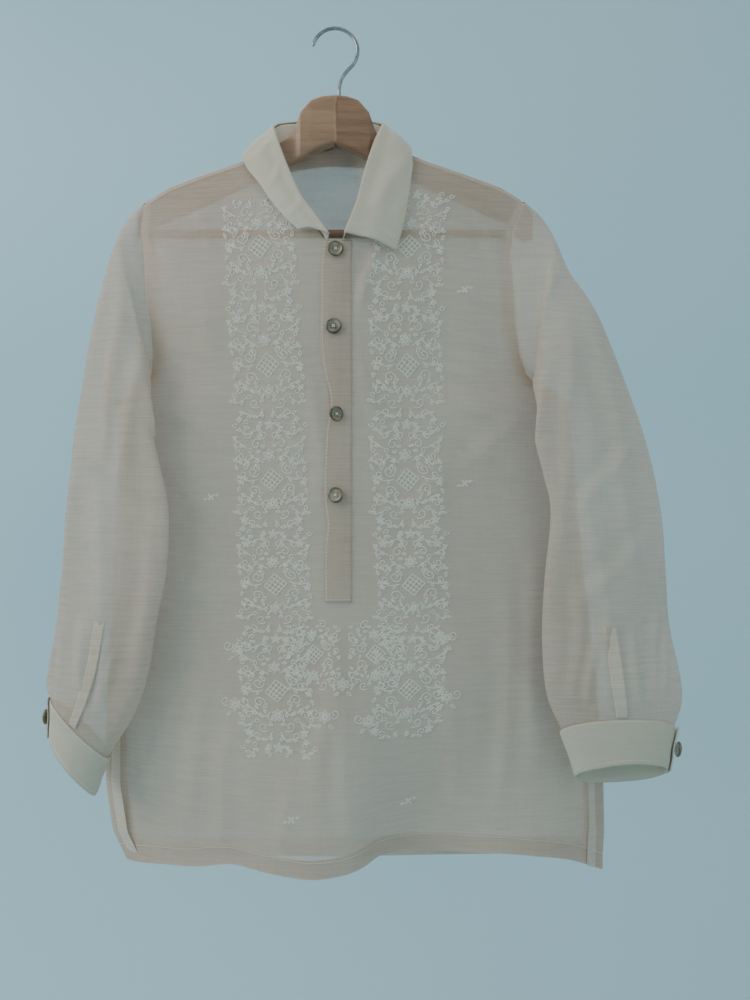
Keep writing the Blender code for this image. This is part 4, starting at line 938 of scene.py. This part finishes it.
seams = [(fall[:, 4], FORWARD), (fall[-4], None), (fall[::-1, -5], FORWARD), (overlap[:, 1], FORWARD),
         (overlap[-2], FORWARD), (front_points[-5], FORWARD)]
seams += [(grid[row], None) for grid in cuffs.values() for row in (1, -3)]
paths, outs = [], []
for line, out in seams:
    for stitch in dashed(line):
        outs.append(one_long(stitch[1] - line.mean(axis=0)) if out is None else out)
        paths.append(stitch + outs[-1] * 0.75)
thread("top_stitching", paths, outs, 0.5, 0.25, "collar_cloth")

# Buttons: turned discs of horn, 16 mm across and 2.6 mm thick, each with a rim, a dish, crossed thread and four holes
# painted as dark discs of shade. A row of the front's holds x, z and the turn in degrees.
FRONT_BUTTONS = ((2.5, -244, 6), (0.5, -322, -4), (3.5, -411, 34), (2.5, -493, -18))
BUTTON_RADIUS = 8.0
BUTTON_THICKNESS = 2.6
BUTTON_GAP = 0.35
WALL = 1.2
LAY_ON = 1.7
BUTTON_PROFILE = np.array([(0.02, -0.1), (3.4, 0.0), (4.9, 0.15), (5.7, 0.75), (6.5, BUTTON_THICKNESS / 2), (7.3, 1.15),
                           (7.85, 0.6), (BUTTON_RADIUS, -0.1), (7.7, -0.9), (6.6, -BUTTON_THICKNESS / 2),
                           (3.0, -BUTTON_THICKNESS / 2), (0.02, -BUTTON_THICKNESS / 2)])
PROFILE_POINTS = 60
DISH_POINTS = 19
BUTTON_SIDES = 56
HOLES = ((1.7, 1.7), (-1.7, 1.7), (-1.7, -1.7), (1.7, -1.7))
HOLE_RADIUS = 0.85
THREAD_RADIUS = 0.38

# Horn: polished, brown at the rim, with cloudy patches of 8 to 9 mm. The dish is painted paler, a painted reflection,
# and the holes are dark discs of painted shade.
HORN = two_tone("mottled_horn", 0.25, 7.692, 3.0, 0.1, "4a3d2e", "877456", coat=0.4)[0]
# Paler horn for the dish: a painted reflection of the light.
PAINTED_DISH_GLINT = two_tone("horn_painted_glint", 0.3, 9.091, 3.0, 0.15, "75664f", "b9ac94", coat=0.4)[0]
# Near-black discs set in the holes: painted shade.
PAINTED_HOLE_SHADE = two_tone("painted_hole_shade", 0.9, 1.667, 2.0, 0.2, "140e08", "2a2016")[0]


def revolved(line, sides):
    """A profile of radius and height, turned about Z."""
    turn = circle(sides)
    return np.stack([line[:, :1] * np.cos(turn), line[:, :1] * np.sin(turn), line[:, 1:] + 0 * turn], axis=2)


def dressed_button(name, node, centre, normal):
    """A revolved profile with thread, a painted reflection in its dish and painted shade in its holes, facing the
    normal.
    """
    line = refined(BUTTON_PROFILE[:, None], PROFILE_POINTS, 1)[:, 0]
    body = surface(name, revolved(line, BUTTON_SIDES), HORN, ring=True)
    body.data.materials.append(PAINTED_DISH_GLINT)
    # The dish's faces take the painted reflection.
    in_painted_glint = np.repeat(np.arange(PROFILE_POINTS - 1) < DISH_POINTS, BUTTON_SIDES)
    body.data.polygons.foreach_set("material_index", in_painted_glint.astype(int))
    pieces = [body]
    line = np.stack([np.linspace(0.02, HOLE_RADIUS, 3), np.full(3, 0.12)], axis=1)
    for number, (x, y) in enumerate(HOLES):
        disc = revolved(line, BUTTON_SIDES // 4) + (x, y, 0)
        pieces.append(surface(name + "_hole_%d" % number, disc, PAINTED_HOLE_SHADE, ring=True))
    t = np.linspace(-1, 1, 12)
    tube = circle(8)[None, :, None]
    for number, (x, y) in enumerate(HOLES[:2]):
        middle = np.stack([x * t, y * t, 0.15 + 0.75 * (1 - t**4) + 0.2 * number], axis=1)
        side = np.array([-y, x, 0]) / math.hypot(x, y)
        grid = middle[:, None] + THREAD_RADIUS * (np.cos(tube) * side + np.sin(tube) * (0, 0, 1))
        pieces.append(surface(name + "_thread_%d" % number, grid, STITCH, ring=True))
    rotation = mathutils.Vector(normal).to_track_quat("Z", "Y").to_matrix()
    whole = mathutils.Matrix.Translation(mathutils.Vector(np.asarray(centre) * MM)) @ rotation.to_4x4()
    for piece in pieces:
        piece.data.transform(whole)
    with bpy.context.temp_override(active_object=body, object=body, selected_objects=pieces,
                                   selected_editable_objects=pieces):
        bpy.ops.object.join()
    stands_for(body, "horn", node)


for index, (x, z, degrees) in enumerate(FRONT_BUTTONS):
    turn = math.radians(degrees)
    reach = BUTTON_RADIUS * abs(math.sin(turn)) * 0.9
    y = float(front_y(x, z)) - LAY_ON - WALL / 2 - BUTTON_THICKNESS / 2 - BUTTON_GAP - reach
    dressed_button("front_button_%d" % (index + 1), "button_front_%d" % (index + 1), (x, y, z),
                   (math.sin(turn), -math.cos(turn), 0.05))
for side_name, grid in cuffs.items():
    low_corner, high_corner = (np.array(corner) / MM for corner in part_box("button_cuff_" + side_name))
    normal = np.cross(grid[11, -1] - grid[11, -13], grid[-1, -7] - grid[0, -7])
    normal *= np.sign(np.dot(normal, grid[11, -7] - grid[11].mean(axis=0))) / np.linalg.norm(normal)
    dressed_button("cuff_button_" + side_name, "button_cuff_" + side_name, (low_corner + high_corner) / 2, normal)

# Hanger: two mitred beech halves 18 mm thick at the head, the grain along each arm, and a bar 9 mm across. A row of an
# arm holds the distance from the middle, its top, its foot and half its thickness.
HANGER_ARM = by_name("x top foot half", (
    (0, -73, -123.4, 9), (13, -74, -128, 9), (25, -78, -134, 9), (36, -90, -139.5, 8.0), (41, -104, -142, 5.8),
    (44, -112, -143.5, 5.4), (50, -116, -146, 5.6), (60, -121, -150, 6.5), (97, -140, -167, 6),
    (142, -154, -186, 6), (176, -166, -200, 6), (197.7, -178, -206, 6), (198.3, -179, -221, 6),
    (205, -186, -221, 5), (211, -193, -219, 3),
))
MITRE_X = 3.0
ARM_UNDER_CLOTH = 60.0
ARM_CLEARANCE = 2.6
ARM_BOSS_X = 197.7
BAR_RADIUS = 4.5
BAR_Z = -214.0
BAR_Y = 7.0
SEAM_GAP = 0.3


def beech(name, pale, dark, slope):
    """Beech: a thin satin coat on grain 8 to 11 mm wide along the slope, with short dark flecks across it."""
    made, tree, shader, place = blank(name, 0.38, coat=0.25)
    grain = pattern(tree, place, (142.9, 11.11, 7.692), 4.0, turn=(0, slope, 0))
    flecks = pattern(tree, place, (16.67, 2.0, 1.111), 2.0, levels(0.35, 0.65, 0.0, 0.25), turn=(0, slope, 0))
    bands = add(tree, "ShaderNodeMapRange", {"Value": grain, **levels(0.3, 0.7, 0.0, 0.75)}).outputs[0]
    tone = add(tree, "ShaderNodeMath", {0: bands, 1: flecks}, operation="ADD")
    coloured(tree, shader, tone.outputs[0], dark, pale)
    raised = add(tree, "ShaderNodeBump", {"Height": grain, "Strength": 0.15, "Distance": 0.3 * MM})
    tree.links.new(raised.outputs[0], shader.inputs["Normal"])
    return made


def closed(grid):
    """Rings with a middle point at each end, so that the form is closed."""
    centre = grid.mean(axis=1, keepdims=True) + 0 * grid
    return np.concatenate([centre[:1], grid, centre[-1:]])


# The left half is painted paler, as painted light from the left, and the right half darker, as painted shade.
for side_name, side, finish in (("left", -1, beech("beech_left_painted_light", "b98f70", "946b4e", -0.42)),
                                ("right", 1, beech("beech_right_painted_shade", "a67a5c", "80573c", 0.42))):
    x, top_z, foot_z, half = HANGER_ARM.values()
    under = (x >= ARM_UNDER_CLOTH) & (x < ARM_BOSS_X + 1)
    top_z = np.where(under, ridge_height(x) - ARM_CLEARANCE, top_z)
    x, top_z, foot_z, half = (between(values, 150) for values in (x, top_z, foot_z, half))
    reach = np.where(x == 0, MITRE_X + side * SEAM_GAP / 2, side * x)
    square = np.stack([np.cos(circle(48)), np.sin(circle(48))], axis=1)
    square = np.sign(square) * np.abs(square) ** 0.35
    z = (top_z + foot_z)[:, None] / 2 + (top_z - foot_z)[:, None] / 2 * square[:, 1]
    y = mid_plane(reach)[:, None] + half[:, None] * square[:, 0]
    grid = np.stack([reach[:, None] + 0 * z, y, z], axis=2)
    grid = closed(np.concatenate([grid[:1], grid, grid[-1:]]))
    dressed("hanger_arm_" + side_name, grid, finish, "beech", "hanger_half_" + side_name, ring=True, flip=side < 0)

reach = (np.linspace(-1, 1, 60) * (ARM_BOSS_X - SEAM_GAP))[:, None]
turn = circle(32)
bar = np.stack([reach + 0 * turn, BAR_Y + BAR_RADIUS * np.cos(turn) + 0 * reach,
                BAR_Z + BAR_RADIUS * np.sin(turn) + 0 * reach], axis=2)
dressed("hanger_rod", closed(bar), beech("beech_bar", "a97d5e", "84593d", 0.0), "beech", "hanger_bar", ring=True,
        flip=True)

# Hook: nickel-plated wire 4 mm thick, bent to a radius of 24 mm. It is bright, with smears of 6 to 17 mm that dull it.
HOOK_RADIUS = 24.0
HOOK_WIRE = 2.0
HOOK_TIP_TURN = 168.0
HOOK_END_TURN = -52.0
STEM_X = 4.5
STEM_TOP = -58.0
NICKEL, tree, shader, place = two_tone("nickelled_wire", 0.18, 11.11, 2.0, 0.2, "85888b", "b0b3b5", metallic=1.0)
smear = pattern(tree, place, (5.556, 5.556, 16.67), 3.0, levels(0.35, 0.65, 0.14, 0.34))
tree.links.new(smear, shader.inputs["Roughness"])
angles = np.radians(np.linspace(HOOK_TIP_TURN, HOOK_END_TURN, 60))
middle = HOOK_WIRE - HOOK_RADIUS
line = [(HOOK_RADIUS * math.cos(a), 0, middle + HOOK_RADIUS * math.sin(a)) for a in angles]
head_y = float(mid_plane(STEM_X))
bend = np.array([line[-1], (8.0, -0.6, -50.0), (STEM_X + 0.8, head_y * 0.6, STEM_TOP), (STEM_X, head_y, STEM_TOP - 6),
                 (STEM_X, head_y, HANGER_ARM["top"][0] + SEAM_GAP)])
line = np.concatenate([line[:-1], refined(bend[:, None], 40, 1)[:, 0]])
curve = bpy.data.curves.new("hook_wire", "CURVE")
curve.dimensions = "3D"
curve.bevel_depth = HOOK_WIRE * MM
curve.bevel_resolution = 6
curve.use_fill_caps = True
spline = curve.splines.new("POLY")
spline.points.add(len(line) - 1)
for point, spot in zip(spline.points, line):
    point.co = (*(value * MM for value in spot), 1.0)
spline.points[0].radius = 0.55
spline.points[1].radius = 0.9
curve.materials.append(NICKEL)
stands_for(placed("hook_wire", curve), "steel", "hanger_hook")

# Stage: a round seamless cove in the photo's pale cool blue-grey, 2.4 m from the shirt, and soft light from the upper
# left. Its paint is matt, with slow changes of tone.
COVE_PROFILE = ((20, -1500), (700, -1480), (1400, -1350), (2000, -1020), (2350, -450), (2450, 300), (2450, 2200))
WALL_PAINT = two_tone("cove_paint", 0.95, 2000, 1.0, 0.2, "a9cbd6", "b5d5df")[0]
profile = refined(np.array(COVE_PROFILE, float)[:, None], 90, 1)[:, 0]
surface("cove", revolved(profile, 96), WALL_PAINT, ring=True)


def soft_light(name, place, target, size, power, tint):
    """A square lamp that faces its target."""
    lamp = bpy.data.lights.new(name, "AREA")
    lamp.size = size
    lamp.energy = power
    lamp.color = tint
    made = placed(name, lamp)
    made.location = place
    made.rotation_euler = (mathutils.Vector(target) - mathutils.Vector(place)).to_track_quat("-Z", "Y").to_euler()


# A large window lamp warms the cloth, one washes the wall behind, and a weak one fills from the right. Metres and watts.
soft_light("window", (-2.0, -1.05, 0.1), (0.0, 0.0, -0.5), 2.2, 45.0, (1.0, 0.955, 0.89))
soft_light("wall_wash", (-1.3, 0.7, 0.9), (-0.8, 2.4, -0.4), 1.6, 14.0, (0.97, 0.99, 1.0))
soft_light("fill", (1.5, -1.6, 0.0), (0.0, 0.0, -0.5), 1.8, 7.0, (1.0, 0.94, 0.87))
world = bpy.data.worlds.new("pale_room")
bpy.context.scene.world = world
world.use_nodes = True
world.node_tree.nodes["Background"].inputs["Color"].default_value = (0.97, 0.94, 0.91, 1)
world.node_tree.nodes["Background"].inputs["Strength"].default_value = 0.85

# Camera: at the photo's distance of 0.9 m and its height, looking straight along Y.
PHOTO_DISTANCE = 0.9
PHOTO_HALF_HEIGHT = 0.530
camera_data = bpy.data.cameras.new("camera")
camera_data.sensor_width = 36.0
camera_data.lens = camera_data.sensor_width / 2 * PHOTO_DISTANCE / PHOTO_HALF_HEIGHT
camera = placed("camera", camera_data)
camera.location = (0.0424, -PHOTO_DISTANCE, -0.498)
camera.rotation_euler = (math.pi / 2, 0, 0)
bpy.context.scene.camera = camera
